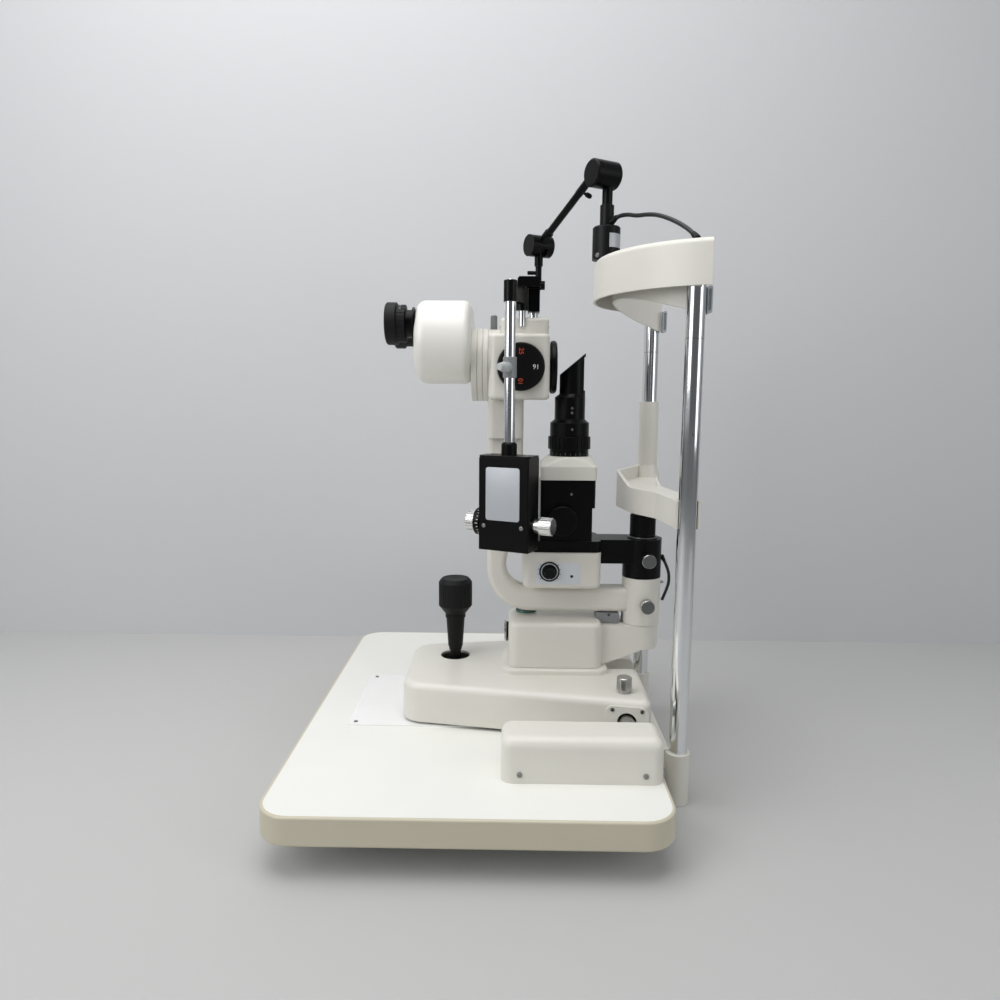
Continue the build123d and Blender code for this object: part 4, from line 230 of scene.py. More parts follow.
# %% [markdown]
# Two leads are open to view. One runs from the fixation lamp's base over the forehead band
# and down into the near post. The other loops from the illumination arm down to the pivot.
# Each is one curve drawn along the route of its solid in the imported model, because a
# third-order curve rounds every corner by itself, as a real lead does.

# %% The two leads
LEADS = {
    "lamp_cable": {
        "route": (
            (147.1, -6.3, 560.8),
            (151.9, -12.0, 565.1),
            (161.5, -24.0, 564.4),
            (169.2, -36.0, 560.0),
            (177.7, -50.0, 558.5),
            (187.1, -66.0, 554.4),
            (197.9, -88.0, 544.4),
            (206.0, -106.0, 534.2),
            (211.1, -116.0, 526.7),
            (214.1, -122.0, 520.6),
        ),
        "radius": 2.25,
        "body": "stand",
    },
    "illumination_cable": {
        "route": (
            (216.0, -3.0, 182.0),
            (224.0, -3.0, 168.0),
            (226.0, -3.0, 153.0),
            (223.0, -3.0, 141.0),
            (218.0, -3.0, 129.0),
        ),
        "radius": 1.75,
        "body": "illumination",
    },
}
WHOLE_RADIUS, LEAD_SIDES, LEAD_STEPS = 1.0, 5, 12


def lead_curve(name, route, radius):
    """A lead as one smooth curve whose control points are the route's points.

    Each point carries the lead's radius itself, so that the curve's box is no wider.
    """
    data = bpy.data.curves.new(name, "CURVE")
    data.dimensions = "3D"
    data.bevel_depth = WHOLE_RADIUS
    data.bevel_resolution = LEAD_SIDES
    data.use_fill_caps = True
    spline = data.splines.new("NURBS")
    spline.points.add(len(route) - 1)
    for point, place in zip(spline.points, route):
        point.co = (*at(*place), 1)
        point.radius = mm(radius)
    spline.order_u = 3
    spline.use_endpoint_u = True
    spline.resolution_u = LEAD_STEPS
    piece = bpy.data.objects.new(name, data)
    bpy.context.collection.objects.link(piece)
    return piece


def lead_length(piece):
    """The length of a lead's smooth line in metres, measured on the curve without its bevel."""
    bevel = piece.data.bevel_depth
    piece.data.bevel_depth = 0
    view = bpy.context.evaluated_depsgraph_get()
    line = bpy.data.meshes.new_from_object(piece.evaluated_get(view))
    piece.data.bevel_depth = bevel
    points = [vertex.co.copy() for vertex in line.vertices]
    bpy.data.meshes.remove(line)
    return sum((after - before).length for before, after in zip(points, points[1:]))


leads = {}
for node, facts in LEADS.items():
    lead = lead_curve(f"{node}_lead", facts["route"], facts["radius"])
    leads[node] = lead
    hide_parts(node)
    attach(lead, facts["body"])
    print(node, "follows", len(facts["route"]), "points")

# %% [markdown]
# Most finishes here share a few effects: the orange-peel skin of paint and moulded
# plastic, a slight lightening where edges are handled, and the fine lines that a lathe
# leaves. Each effect is a node group built once. A group gives out a height or a mask,
# and the material decides what to do with it.

# %% Tools for building node groups
def new_group(name, inputs, outputs):
    """An empty shader node group with named float sockets."""
    group = bpy.data.node_groups.new(name, "ShaderNodeTree")
    for socket, value in inputs:
        made = group.interface.new_socket(socket, in_out="INPUT", socket_type="NodeSocketFloat")
        made.default_value = value
    for socket in outputs:
        group.interface.new_socket(socket, in_out="OUTPUT", socket_type="NodeSocketFloat")
    start = group.nodes.new("NodeGroupInput")
    end = group.nodes.new("NodeGroupOutput")
    return group, start, end


def noise_node(tree, scale, detail=3.0, roughness=0.5, vector=None):
    """Noise on the piece's own coordinates."""
    noise = tree.nodes.new("ShaderNodeTexNoise")
    noise.inputs["Detail"].default_value = detail
    noise.inputs["Roughness"].default_value = roughness
    if vector is None:
        vector = tree.nodes.new("ShaderNodeTexCoord").outputs["Object"]
    tree.links.new(vector, noise.inputs["Vector"])
    if isinstance(scale, (int, float)):
        noise.inputs["Scale"].default_value = scale
    else:
        tree.links.new(scale, noise.inputs["Scale"])
    return noise.outputs["Fac"]


# %% [markdown]
# Paint and moulded plastic are never quite flat or quite even. A fine noise gives the
# waviness, and a slow one the clouds in the tone.

# %% Skin
skin, skin_in, skin_out = new_group("skin", (("Scale", 900.0), ("Mottle", 14.0)), ("Height", "Tone"))
skin.links.new(noise_node(skin, skin_in.outputs["Scale"], 2.0), skin_out.inputs["Height"])
tone = noise_node(skin, skin_in.outputs["Mottle"], 4.0, 0.6)
skin.links.new(tone, skin_out.inputs["Tone"])
print("skin", len(skin.nodes), "nodes")

# %% [markdown]
# Handled edges turn lighter. A softened normal differs from the true one only near an
# edge, so their difference makes a mask that is 1 on edges and 0 on flats.

# %% Rim
RIM_WIDTH, RIM_GAIN, RIM_SAMPLES = 0.0012, 9.0, 4
rim, rim_in, rim_out = new_group("rim", (("Width", RIM_WIDTH), ("Gain", RIM_GAIN)), ("Mask",))
bevel = rim.nodes.new("ShaderNodeBevel")
bevel.samples = RIM_SAMPLES
rim.links.new(rim_in.outputs["Width"], bevel.inputs["Radius"])
flat_normal = rim.nodes.new("ShaderNodeNewGeometry")
agreement = rim.nodes.new("ShaderNodeVectorMath")
agreement.operation = "DOT_PRODUCT"
rim.links.new(bevel.outputs["Normal"], agreement.inputs[0])
rim.links.new(flat_normal.outputs["Normal"], agreement.inputs[1])
difference = sum_node(rim, "SUBTRACT", 1.0, agreement.outputs["Value"])
strength = sum_node(rim, "MULTIPLY", difference, rim_in.outputs["Gain"])
broken_up = sum_node(rim, "MULTIPLY", strength, noise_node(rim, 260.0, 3.0, 0.65))
clamp = rim.nodes.new("ShaderNodeClamp")
rim.links.new(broken_up, clamp.inputs["Value"])
rim.links.new(clamp.outputs["Result"], rim_out.inputs["Mask"])
print("rim", len(rim.nodes), "nodes")

# %% [markdown]
# Turned and drawn metal shows fine lines. Noise that is stretched along the piece gives
# them without any modelling.

# %% Drawn
drawn, drawn_in, drawn_out = new_group("drawn", (("Across", 1400.0), ("Along", 6.0)), ("Streak",))
place = drawn.nodes.new("ShaderNodeTexCoord").outputs["Object"]
stretch = drawn.nodes.new("ShaderNodeMapping")
stretch.vector_type = "POINT"
combine = drawn.nodes.new("ShaderNodeCombineXYZ")
drawn.links.new(drawn_in.outputs["Across"], combine.inputs["X"])
drawn.links.new(drawn_in.outputs["Across"], combine.inputs["Y"])
drawn.links.new(drawn_in.outputs["Along"], combine.inputs["Z"])
drawn.links.new(place, stretch.inputs["Vector"])
drawn.links.new(combine.outputs["Vector"], stretch.inputs["Scale"])
lines = noise_node(drawn, 1.0, 2.0, 0.5, stretch.outputs["Vector"])
drawn.links.new(lines, drawn_out.inputs["Streak"])
print("node groups", [group.name for group in bpy.data.node_groups])

# %% [markdown]
# The finishes. A painted casting, a moulded cover and a rubber ring differ in base colour,
# gloss, and how strongly the skin shows. One function mixes them from the same groups.

# %% A finish from the shared groups
MIX_LOW, MIX_HIGH, MIX_RESULT = 6, 7, 2
DARK_TONE, LIGHT_TONE, GLOSS_SPREAD = 0.95, 1.04, 0.05
BUMP_DISTANCE, EASE_SAMPLES = 0.0004, 6


def linear(channel):
    """One channel of a display colour, from 0 to 255, as linear light."""
    share = channel / 255
    return ((share + 0.055) / 1.055) ** 2.4 if channel > 10 else share / 12.92


def shade_of(red, green, blue):
    """A display colour as the linear colour that a shader wants."""
    return linear(red), linear(green), linear(blue)


def place_group(tree, group, **values):
    """A node group placed in a material with its own values."""
    node = tree.nodes.new("ShaderNodeGroup")
    node.node_tree = group
    for socket, value in values.items():
        node.inputs[socket.capitalize()].default_value = value
    return node


def mix_colours(tree, mask, low, high):
    """Two colours mixed by a mask."""
    mix = tree.nodes.new("ShaderNodeMix")
    mix.data_type = "RGBA"
    tree.links.new(mask, mix.inputs["Factor"])
    for socket, source in ((mix.inputs[MIX_LOW], low), (mix.inputs[MIX_HIGH], high)):
        if isinstance(source, tuple):
            socket.default_value = (*source, 1)
        else:
            tree.links.new(source, socket)
    return mix.outputs[MIX_RESULT]


def spread(tree, value, low, high):
    """A 0 to 1 value remapped to a range."""
    remap = tree.nodes.new("ShaderNodeMapRange")
    remap.inputs["To Min"].default_value = low
    remap.inputs["To Max"].default_value = high
    tree.links.new(value, remap.inputs["Value"])
    return remap.outputs["Result"]


def finish(
    name, colour, rough, metallic=0.0, coat=0.0, scale=900.0, depth=0.05, mottle=14.0,
    wear=None, wear_gain=RIM_GAIN, streak=None, specular=0.5, soft_edge=0.0,
):
    """One finish: base colour with slow mottle, worn rims, and a fine skin or drawn streaks."""
    material = bpy.data.materials.new(name)
    material.use_nodes = True
    tree = material.node_tree
    shader = tree.nodes["Principled BSDF"]
    shader.inputs["Metallic"].default_value = metallic
    shader.inputs["Coat Weight"].default_value = coat
    shader.inputs["Specular IOR Level"].default_value = specular
    base = place_group(tree, skin, scale=scale, mottle=mottle)
    low = tuple(c * DARK_TONE for c in colour)
    high = tuple(min(1.0, c * LIGHT_TONE) for c in colour)
    tint = mix_colours(tree, base.outputs["Tone"], low, high)
    if wear:
        worn = place_group(tree, rim, width=RIM_WIDTH, gain=wear_gain)
        tint = mix_colours(tree, worn.outputs["Mask"], tint, wear)
    tree.links.new(tint, shader.inputs["Base Color"])
    height = base.outputs["Height"]
    grain = base.outputs["Tone"]
    if streak:
        lines = place_group(tree, drawn, across=streak[0], along=streak[1])
        height = grain = lines.outputs["Streak"]
    gloss = spread(tree, grain, max(0.0, rough - GLOSS_SPREAD), rough + GLOSS_SPREAD)
    tree.links.new(gloss, shader.inputs["Roughness"])
    bump = tree.nodes.new("ShaderNodeBump")
    bump.inputs["Strength"].default_value = depth
    bump.inputs["Distance"].default_value = BUMP_DISTANCE
    tree.links.new(height, bump.inputs["Height"])
    if soft_edge:
        eased = tree.nodes.new("ShaderNodeBevel")
        eased.samples = EASE_SAMPLES
        eased.inputs["Radius"].default_value = soft_edge
        tree.links.new(eased.outputs["Normal"], bump.inputs["Normal"])
    tree.links.new(bump.outputs["Normal"], shader.inputs["Normal"])
    return material


# %% [markdown]
# The schedule gives each finish its display colour, its gloss and its grain. Chrome is the
# smoothest and rubber the dullest. What hands touch, the housings, knobs and cups, has
# edges that are rubbed lighter.

# %% The finish schedule
CREAM = shade_of(222, 219, 210)
WARM_WHITE = shade_of(236, 234, 227)
RUBBED_CREAM = shade_of(238, 236, 230)
SOOT = shade_of(9, 9, 10)
finishes = {
    "laminate": finish("laminate", shade_of(238, 238, 232), 0.32, depth=0.03, scale=1500.0, mottle=5.0),
    "edge": finish("edge", shade_of(203, 196, 175), 0.42, depth=0.08, scale=1100.0, mottle=9.0),
    "insert": finish("insert", shade_of(150, 150, 148), 0.35, metallic=1.0, depth=0.1, scale=1800.0),
    "glide": finish("glide", shade_of(244, 244, 242), 0.22, coat=0.4, depth=0.02, scale=1300.0),
    "steel": finish(
        "steel", shade_of(170, 170, 168), 0.28, metallic=1.0, depth=0.08, streak=(1200.0, 40.0)
    ),
    "chrome": finish(
        "chrome", shade_of(226, 228, 230), 0.09, metallic=1.0, depth=0.015, streak=(900.0, 3.0)
    ),
    "cream_paint": finish(
        "cream_paint", CREAM, 0.36, coat=0.12, depth=0.10, scale=1000.0,
        wear=RUBBED_CREAM, wear_gain=5.0, soft_edge=0.0008,
    ),
    "cream_plastic": finish(
        "cream_plastic", shade_of(224, 221, 212), 0.38, coat=0.08, depth=0.07, scale=1400.0,
        wear=RUBBED_CREAM, wear_gain=4.0, soft_edge=0.0008,
    ),
    "white_paint": finish(
        "white_paint", WARM_WHITE, 0.3, coat=0.2, depth=0.06, scale=1000.0, soft_edge=0.0008
    ),
    "black_metal": finish(
        "black_metal", SOOT, 0.3, depth=0.06, scale=1600.0,
        wear=shade_of(50, 50, 50), wear_gain=3.0, soft_edge=0.0005, specular=0.14,
    ),
    "black_plastic": finish(
        "black_plastic", shade_of(10, 10, 11), 0.42, depth=0.14, scale=1900.0,
        wear=shade_of(44, 44, 44), wear_gain=3.0, soft_edge=0.0004, specular=0.22,
    ),
    "rubber": finish(
        "rubber", shade_of(13, 13, 14), 0.55, depth=0.12, scale=2400.0,
        wear=shade_of(48, 48, 47), wear_gain=3.0, soft_edge=0.0005, specular=0.25,
    ),
    "cable": finish("cable", shade_of(22, 22, 23), 0.4, depth=0.05, scale=2600.0),
    "knob": finish(
        "knob", shade_of(190, 190, 188), 0.24, metallic=1.0, depth=0.06, streak=(60.0, 1500.0)
    ),
}
print("finishes", len(finishes))

# %% [markdown]
# Four finishes need their own nodes because light passes into them: the coated objective,
# the milky measuring prism, the grey clips and the level's green vial.

# %% Clear and milky finishes
CLEAR_SCALE, CLEAR_MOTTLE, CLEAR_DARK, CLEAR_SPREAD = 700.0, 20.0, 0.96, 0.04


def see_through(name, colour, rough, clear, ior=1.5, coat=0.0):
    """A finish that light passes into, with the same skin as the others on its surface."""
    material = bpy.data.materials.new(name)
    material.use_nodes = True
    tree = material.node_tree
    shader = tree.nodes["Principled BSDF"]
    shader.inputs["IOR"].default_value = ior
    shader.inputs["Transmission Weight"].default_value = clear
    shader.inputs["Coat Weight"].default_value = coat
    base = place_group(tree, skin, scale=CLEAR_SCALE, mottle=CLEAR_MOTTLE)
    low = tuple(c * CLEAR_DARK for c in colour)
    tone = base.outputs["Tone"]
    tree.links.new(mix_colours(tree, tone, low, colour), shader.inputs["Base Color"])
    tree.links.new(spread(tree, tone, rough, rough + CLEAR_SPREAD), shader.inputs["Roughness"])
    return material


finishes["lens"] = see_through("lens", shade_of(150, 178, 190), 0.02, 0.75, 1.6, coat=0.6)
finishes["prism"] = see_through("prism", shade_of(226, 230, 230), 0.18, 0.45, 1.49)
finishes["clip"] = see_through("clip", shade_of(196, 204, 210), 0.25, 0.35, 1.49)
finishes["level"] = see_through("level", shade_of(96, 146, 138), 0.08, 0.35, 1.49, coat=0.5)
print("finishes with the clear ones", len(finishes))

# %% [markdown]
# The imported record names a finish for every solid. Each solid keeps its own shape and
# takes that finish.

# %% Finishes on the solids
slot_of = {row["node"]: row["material_slot"] for row in frame["record"]["subparts"]}
for node, piece in nodes.items():
    piece.data.materials.clear()
    piece.data.materials.append(finishes[slot_of[node]])
for node, lead in leads.items():
    lead.data.materials.append(finishes["cable"])
print("dressed", len(nodes), "solids")

# %% [markdown]
# Small parts are modelled as by hand: a primitive is added at its size, then inset,
# extruded, bevelled or cut, and last it is moved to its place on the instrument. The
# place is a frame whose Z points out of the surface and whose Y points up.

# %% Modelling helpers
def activate(piece):
    """Only this piece is selected and active."""
    deselect()
    piece.select_set(True)
    bpy.context.view_layer.objects.active = piece


def pick_faces(piece, test):
    """Edit mode with only the faces selected whose centre and normal pass a test."""
    activate(piece)
    bpy.ops.object.mode_set(mode="EDIT")
    bpy.ops.mesh.select_mode(type="FACE")
    bpy.ops.mesh.select_all(action="DESELECT")
    bpy.ops.object.mode_set(mode="OBJECT")
    for face in piece.data.polygons:
        face.select = test(face.center, face.normal)
    bpy.ops.object.mode_set(mode="EDIT")


def to_object():
    """Back from edit mode."""
    bpy.ops.object.mode_set(mode="OBJECT")


def bevelled(piece, width, segments=2, angle=40):
    """Bevels a piece's sharp edges with a modifier and applies it."""
    activate(piece)
    modifier = piece.modifiers.new("edge", "BEVEL")
    modifier.width = mm(width)
    modifier.segments = segments
    modifier.limit_method = "ANGLE"
    modifier.angle_limit = math.radians(angle)
    bpy.ops.object.modifier_apply(modifier=modifier.name)
    return piece


def cut_out(piece, *tools):
    """Cuts pieces out of a piece and removes them."""
    for tool in tools:
        activate(piece)
        modifier = piece.modifiers.new("cut", "BOOLEAN")
        modifier.operation = "DIFFERENCE"
        modifier.solver = "EXACT"
        modifier.object = tool
        bpy.ops.object.modifier_apply(modifier=modifier.name)
        bpy.data.objects.remove(tool, do_unlink=True)
    return piece


def joined(name, pieces):
    """Several pieces made one."""
    deselect()
    for piece in pieces:
        piece.select_set(True)
    bpy.context.view_layer.objects.active = pieces[0]
    bpy.ops.object.join()
    pieces[0].name = name
    return pieces[0]


def frame_at(spot, outward, upward=(0, 0, 1)):
    """A matrix with Z pointing outward and Y pointing upward at a drawing point."""
    z_axis = Vector(outward).normalized()
    y_axis = Vector(upward) - z_axis * z_axis.dot(Vector(upward))
    y_axis.normalize()
    turn = Matrix((y_axis.cross(z_axis), y_axis, z_axis)).transposed()
    return Matrix.Translation(at(*spot)) @ turn.to_4x4()


def settle(piece, place, body, slot, look=None, smooth=35):
    """Moves a finished piece to its place, gives it its finish and lets it ride on its body."""
    activate(piece)
    piece.matrix_world = place @ piece.matrix_world
    bpy.ops.object.transform_apply(location=True, rotation=True, scale=True)
    if smooth:
        bpy.ops.object.shade_smooth_by_angle(angle=math.radians(smooth))
    piece.data.materials.clear()
    piece.data.materials.append(look or finishes[slot])
    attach(piece, body)
    return piece


def copy_of(piece, name):
    """A copy with its own mesh."""
    twin = piece.copy()
    twin.data = piece.data.copy()
    twin.name = name
    bpy.context.collection.objects.link(twin)
    return twin


def rod(name, radius, height, sides=32, low=0.0):
    """A plain round bar along Z as a start for other pieces, in millimetres."""
    deselect()
    bpy.ops.mesh.primitive_cylinder_add(
        vertices=sides, radius=mm(radius), depth=mm(height), location=(0, 0, mm(low + height / 2))
    )
    bpy.ops.object.transform_apply(location=True)
    bpy.context.object.name = name
    return bpy.context.object


def block(name, width, depth, height, low=0.0):
    """A plain block centred on Z as a start for other pieces, in millimetres."""
    deselect()
    bpy.ops.mesh.primitive_cube_add(size=1, location=(0, 0, mm(low + height / 2)))
    bpy.context.object.scale = (mm(width), mm(depth), mm(height))
    bpy.ops.object.transform_apply(location=True, scale=True)
    bpy.context.object.name = name
    return bpy.context.object


def turned(name, profile, steps=64):
    """A turned piece: a closed outline of radius and height, spun about Z."""
    deselect()
    bpy.ops.mesh.primitive_circle_add(vertices=len(profile), radius=mm(1), fill_type="NOTHING")
    piece = bpy.context.object
    piece.name = name
    for vertex, (radius, height) in zip(piece.data.vertices, profile):
        vertex.co = (mm(radius), 0, mm(height))
    bpy.ops.object.mode_set(mode="EDIT")
    bpy.ops.mesh.select_all(action="SELECT")
    bpy.ops.mesh.spin(steps=steps, angle=2 * math.pi, center=(0, 0, 0), axis=(0, 0, 1))
    bpy.ops.mesh.select_all(action="SELECT")
    bpy.ops.mesh.remove_doubles(threshold=mm(0.005))
    bpy.ops.mesh.dissolve_degenerate(threshold=mm(0.002))
    bpy.ops.mesh.normals_make_consistent(inside=False)
    to_object()
    return piece


def rounded_plate(name, width, height, thickness, corner, edge=0.2):
    """A thin plate in the XY plane with rounded corners and a broken edge."""
    deselect()
    bpy.ops.mesh.primitive_plane_add(size=1)
    piece = bpy.context.object
    piece.name = name
    piece.scale = (mm(width), mm(height), 1)
    bpy.ops.object.transform_apply(scale=True)
    bpy.ops.object.mode_set(mode="EDIT")
    bpy.ops.mesh.select_all(action="SELECT")
    bpy.ops.mesh.bevel(affect="VERTICES", offset=mm(corner), segments=8)
    bpy.ops.mesh.select_all(action="SELECT")
    bpy.ops.mesh.extrude_region_move(TRANSFORM_OT_translate={"value": (0, 0, mm(thickness))})
    bpy.ops.mesh.select_all(action="SELECT")
    bpy.ops.mesh.normals_make_consistent(inside=False)
    to_object()
    return bevelled(piece, edge, 2, 60)


# %% [markdown]
# Screws of two kinds hold the covers and the castings: one with a cross recess and one
# with a hexagon socket. Each starts as a round bar with a domed rim, from which the recess
# is cut. One pattern is modelled for each place, and its copies go to their places.

# %% Screws
RECESS_DEPTH, SOCKET_SHARE, CROSS_LENGTH, CROSS_WIDTH = 0.55, 0.5, 1.15, 0.26
LEVEL_FACE = 0.9


def upward_for(outward):
    """A side direction for a piece that points outward: up, or +Y where it points up itself."""
    return (0, 0, 1) if abs(outward[2]) < LEVEL_FACE else (0, 1, 0)


def screw(name, radius, height, drive, dome=0.35):
    """A screw head with a domed rim and a recess for its driver."""
    head = rod(name, radius, height)
    pick_faces(head, lambda centre, normal: normal.z > LEVEL_FACE)
    bpy.ops.mesh.bevel(offset=mm(dome), segments=3, affect="EDGES")
    to_object()
    depth = height * RECESS_DEPTH
    low = height - depth
    if drive == "hex":
        tools = [rod("socket", radius * SOCKET_SHARE, depth * 2, 6, low)]
    else:
        tools = [
            block("arm", radius * CROSS_LENGTH, radius * CROSS_WIDTH, depth * 2, low),
            block("arm", radius * CROSS_WIDTH, radius * CROSS_LENGTH, depth * 2, low),
        ]
    return cut_out(head, *tools)


def place_screws(name, pattern, places, body, slot="insert", turn=17.0):
    """Copies of one screw at several places, each turned a little further than the last."""
    for index, (spot, outward) in enumerate(places):
        twin = copy_of(pattern, f"{name}_{index + 1}")
        place = frame_at(spot, outward, upward_for(outward))
        spin = Matrix.Rotation(math.radians(turn * (index + 1)), 4, "Z")
        settle(twin, place @ spin, body, slot)
    bpy.data.objects.remove(pattern, do_unlink=True)
    print(name, len(places))


# %% [markdown]
# Marks, plates and inlays need finishes of their own. Figures are filled with white
# or red paint, plates are brushed and clear-coated, and shadowed holes are plain black.

# %% Finishes for marks and plates
finishes["figure"] = finish("figure", shade_of(232, 232, 228), 0.45, depth=0.04, scale=2200.0)
finishes["figure_red"] = finish("figure_red", shade_of(205, 84, 52), 0.45, depth=0.04, scale=2200.0)
finishes["plate"] = finish(
    "plate", shade_of(186, 190, 195), 0.42, metallic=0.2, depth=0.05, streak=(40.0, 1600.0)
)
finishes["grey_paint"] = finish("grey_paint", shade_of(132, 134, 136), 0.42, depth=0.07, scale=1200.0)
# Near-black for printed marks and rings, also used as painted shade on the flat disc that stands for
# the shadowed pilot hole on the lamp front.
finishes["ink_and_hole_shade"] = finish("ink_and_hole_shade", shade_of(16, 16, 17), 0.5, depth=0.05, scale=2200.0)
finishes["panel"] = finish("panel", shade_of(214, 217, 221), 0.4, depth=0.04, streak=(40.0, 1600.0))
finishes["faint"] = finish("faint", shade_of(112, 112, 112), 0.5, depth=0.04, scale=2200.0)
finishes["dark_steel"] = finish(
    "dark_steel", shade_of(118, 119, 120), 0.34, metallic=0.8, depth=0.08, streak=(60.0, 1500.0)
)
finishes["milky"] = finish("milky", shade_of(206, 212, 212), 0.3, coat=0.5, depth=0.04, scale=900.0)
print("finishes in all", len(finishes))

# %% [markdown]
# Some solids are made of two materials on the real instrument: the chrome pins under a
# black block, the black scale drum between bright knobs, the grey clamp round the milky
# prism, the lock knobs' darker faces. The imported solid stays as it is, and its faces are
# only told which finish to wear.

# %% Two finishes on one solid
def second_finish(node, look, test):
    """The faces of a solid whose centre passes a test in drawing sizes take a second finish."""
    piece = nodes[node]
    piece.data.materials.append(finishes[look])
    index = len(piece.data.materials) - 1
    count = 0
    for face in piece.data.polygons:
        centre = piece.matrix_world @ face.center
        if test(1000 * centre.x, 1000 * centre.y, 1000 * centre.z - DECK):
            face.material_index = index
            count += 1
    print(node, look, count, "faces")


ROD = Vector((35.0, -68.0))
TONO_RIGHT = Vector((0.9063, -0.4226))
TONO_FRONT = Vector((-0.4226, -0.9063))
KNOB_HEIGHT = 230.5
DRUM_START, DRUM_END, DRUM_CORE, DRUM_RADIUS = -36.9, -29.7, 11.2, 15.0
PIN_TOP, CLAMP_RADIUS = 460.5, 8.2
LOCK_PIN_X, LOCK_PIN_HALF, LOCK_PIN_FOOT = 16, 5, 437.0
HUB_KNOB_FACE, SLIT_KNOB_BACK = -36.3, -29.5


def drum_place(x, y, z):
    """How far along the measuring drum's axis a point lies, and how far off it."""
    offset = Vector((x, y)) - ROD
    along = offset.dot(TONO_RIGHT)
    return along, math.hypot(offset.dot(TONO_FRONT), z - KNOB_HEIGHT)


def on_drum(x, y, z):
    """True on the black drum that carries the measuring scale."""
    along, off = drum_place(x, y, z)
    return DRUM_START < along < DRUM_END and off > DRUM_CORE


def on_lock_pin(x, y, z):
    """True on the small lock pin on the microscope's body."""
    return z > LOCK_PIN_FOOT and abs(x - LOCK_PIN_X) < LOCK_PIN_HALF and abs(y) < LOCK_PIN_HALF


second_finish("tonometer_mount", "chrome", lambda x, y, z: z < PIN_TOP)
second_finish("tonometer_drum", "black_metal", on_drum)
second_finish(
    "tonometer_prism", "grey_paint", lambda x, y, z: (Vector((x, y)) - ROD).length < CLAMP_RADIUS
)
second_finish("magnifier_body", "grey_paint", on_lock_pin)
for hub_knob in ("microscope_lock_knob", "illumination_lock_knob"):
    second_finish(hub_knob, "dark_steel", lambda x, y, z: y < HUB_KNOB_FACE)
second_finish("slit_knob", "black_metal", lambda x, y, z: y < SLIT_KNOB_BACK)

# %% [markdown]
# The magnification dials carry plain figures. They read from the centre of the dial, so a
# chosen figure stands upright when it is turned to the mark on the body.

# %% Dial figures
DIAL_X, DIAL_HEIGHT, DIAL_FACE, FIGURE_RADIUS = 47.0, 400.0, 49.0, 16.3
FIGURES = (
    ("16", 0, "figure"), ("25", 90, "figure_red"), ("16", 180, "figure"), ("10", 270, "figure_red")
)
FIGURE_SIZE, CAP_SHARE = 5.1, 0.7


def figure(name, words, height, place, body, look, relief=0.12):
    """Raised figures of a given height, made from a text turned into a mesh."""
    deselect()
    bpy.ops.object.text_add()
    piece = bpy.context.object
    piece.name = name
    piece.data.body = words
    piece.data.size = mm(height / CAP_SHARE)
    piece.data.align_x = "CENTER"
    piece.data.align_y = "CENTER"
    piece.data.extrude = mm(relief)
    bpy.ops.object.convert(target="MESH")
    bpy.ops.object.mode_set(mode="EDIT")
    bpy.ops.mesh.select_all(action="SELECT")
    bpy.ops.mesh.remove_doubles(threshold=mm(0.01))
    bpy.ops.mesh.normals_make_consistent(inside=False)
    to_object()
    return settle(piece, place, body, "white_paint", finishes[look], 30)


for side, outward in (("near", -1), ("far", 1)):
    for index, (words, angle, look) in enumerate(FIGURES):
        across, height = math.cos(math.radians(angle)), math.sin(math.radians(angle))
        along = DIAL_X - outward * FIGURE_RADIUS * across
        spot = (along, outward * DIAL_FACE, DIAL_HEIGHT + FIGURE_RADIUS * height)
        place = frame_at(spot, (0, outward, 0), (-outward * height, 0, -across))
        figure(f"dial_figure_{side}_{index + 1}", words, FIGURE_SIZE, place, "dials", look)
print("dial figures", 2 * len(FIGURES))

# %% [markdown]
# Round inlays and rings come from one short outline spun about its axis: the mark beside
# the dial, the collar round the lamp's knob, the washer under the pivot's cap, the rings
# on the posts at the height of the patient's eyes, the level's frame and its bubble.

# %% Turned rings and inlays
def ring(inner, outer, low, high, chamfer=0.2):
    """The outline of a ring with broken edges."""
    return (
        (inner, low), (outer - chamfer, low), (outer, low + chamfer),
        (outer, high - chamfer), (outer - chamfer, high), (inner, high),
    )


def disc(radius, low, high, chamfer=0.2):
    """The outline of a disc with a broken edge."""
    return ((0, low), (radius, low), (radius, high - chamfer), (radius - chamfer, high), (0, high))


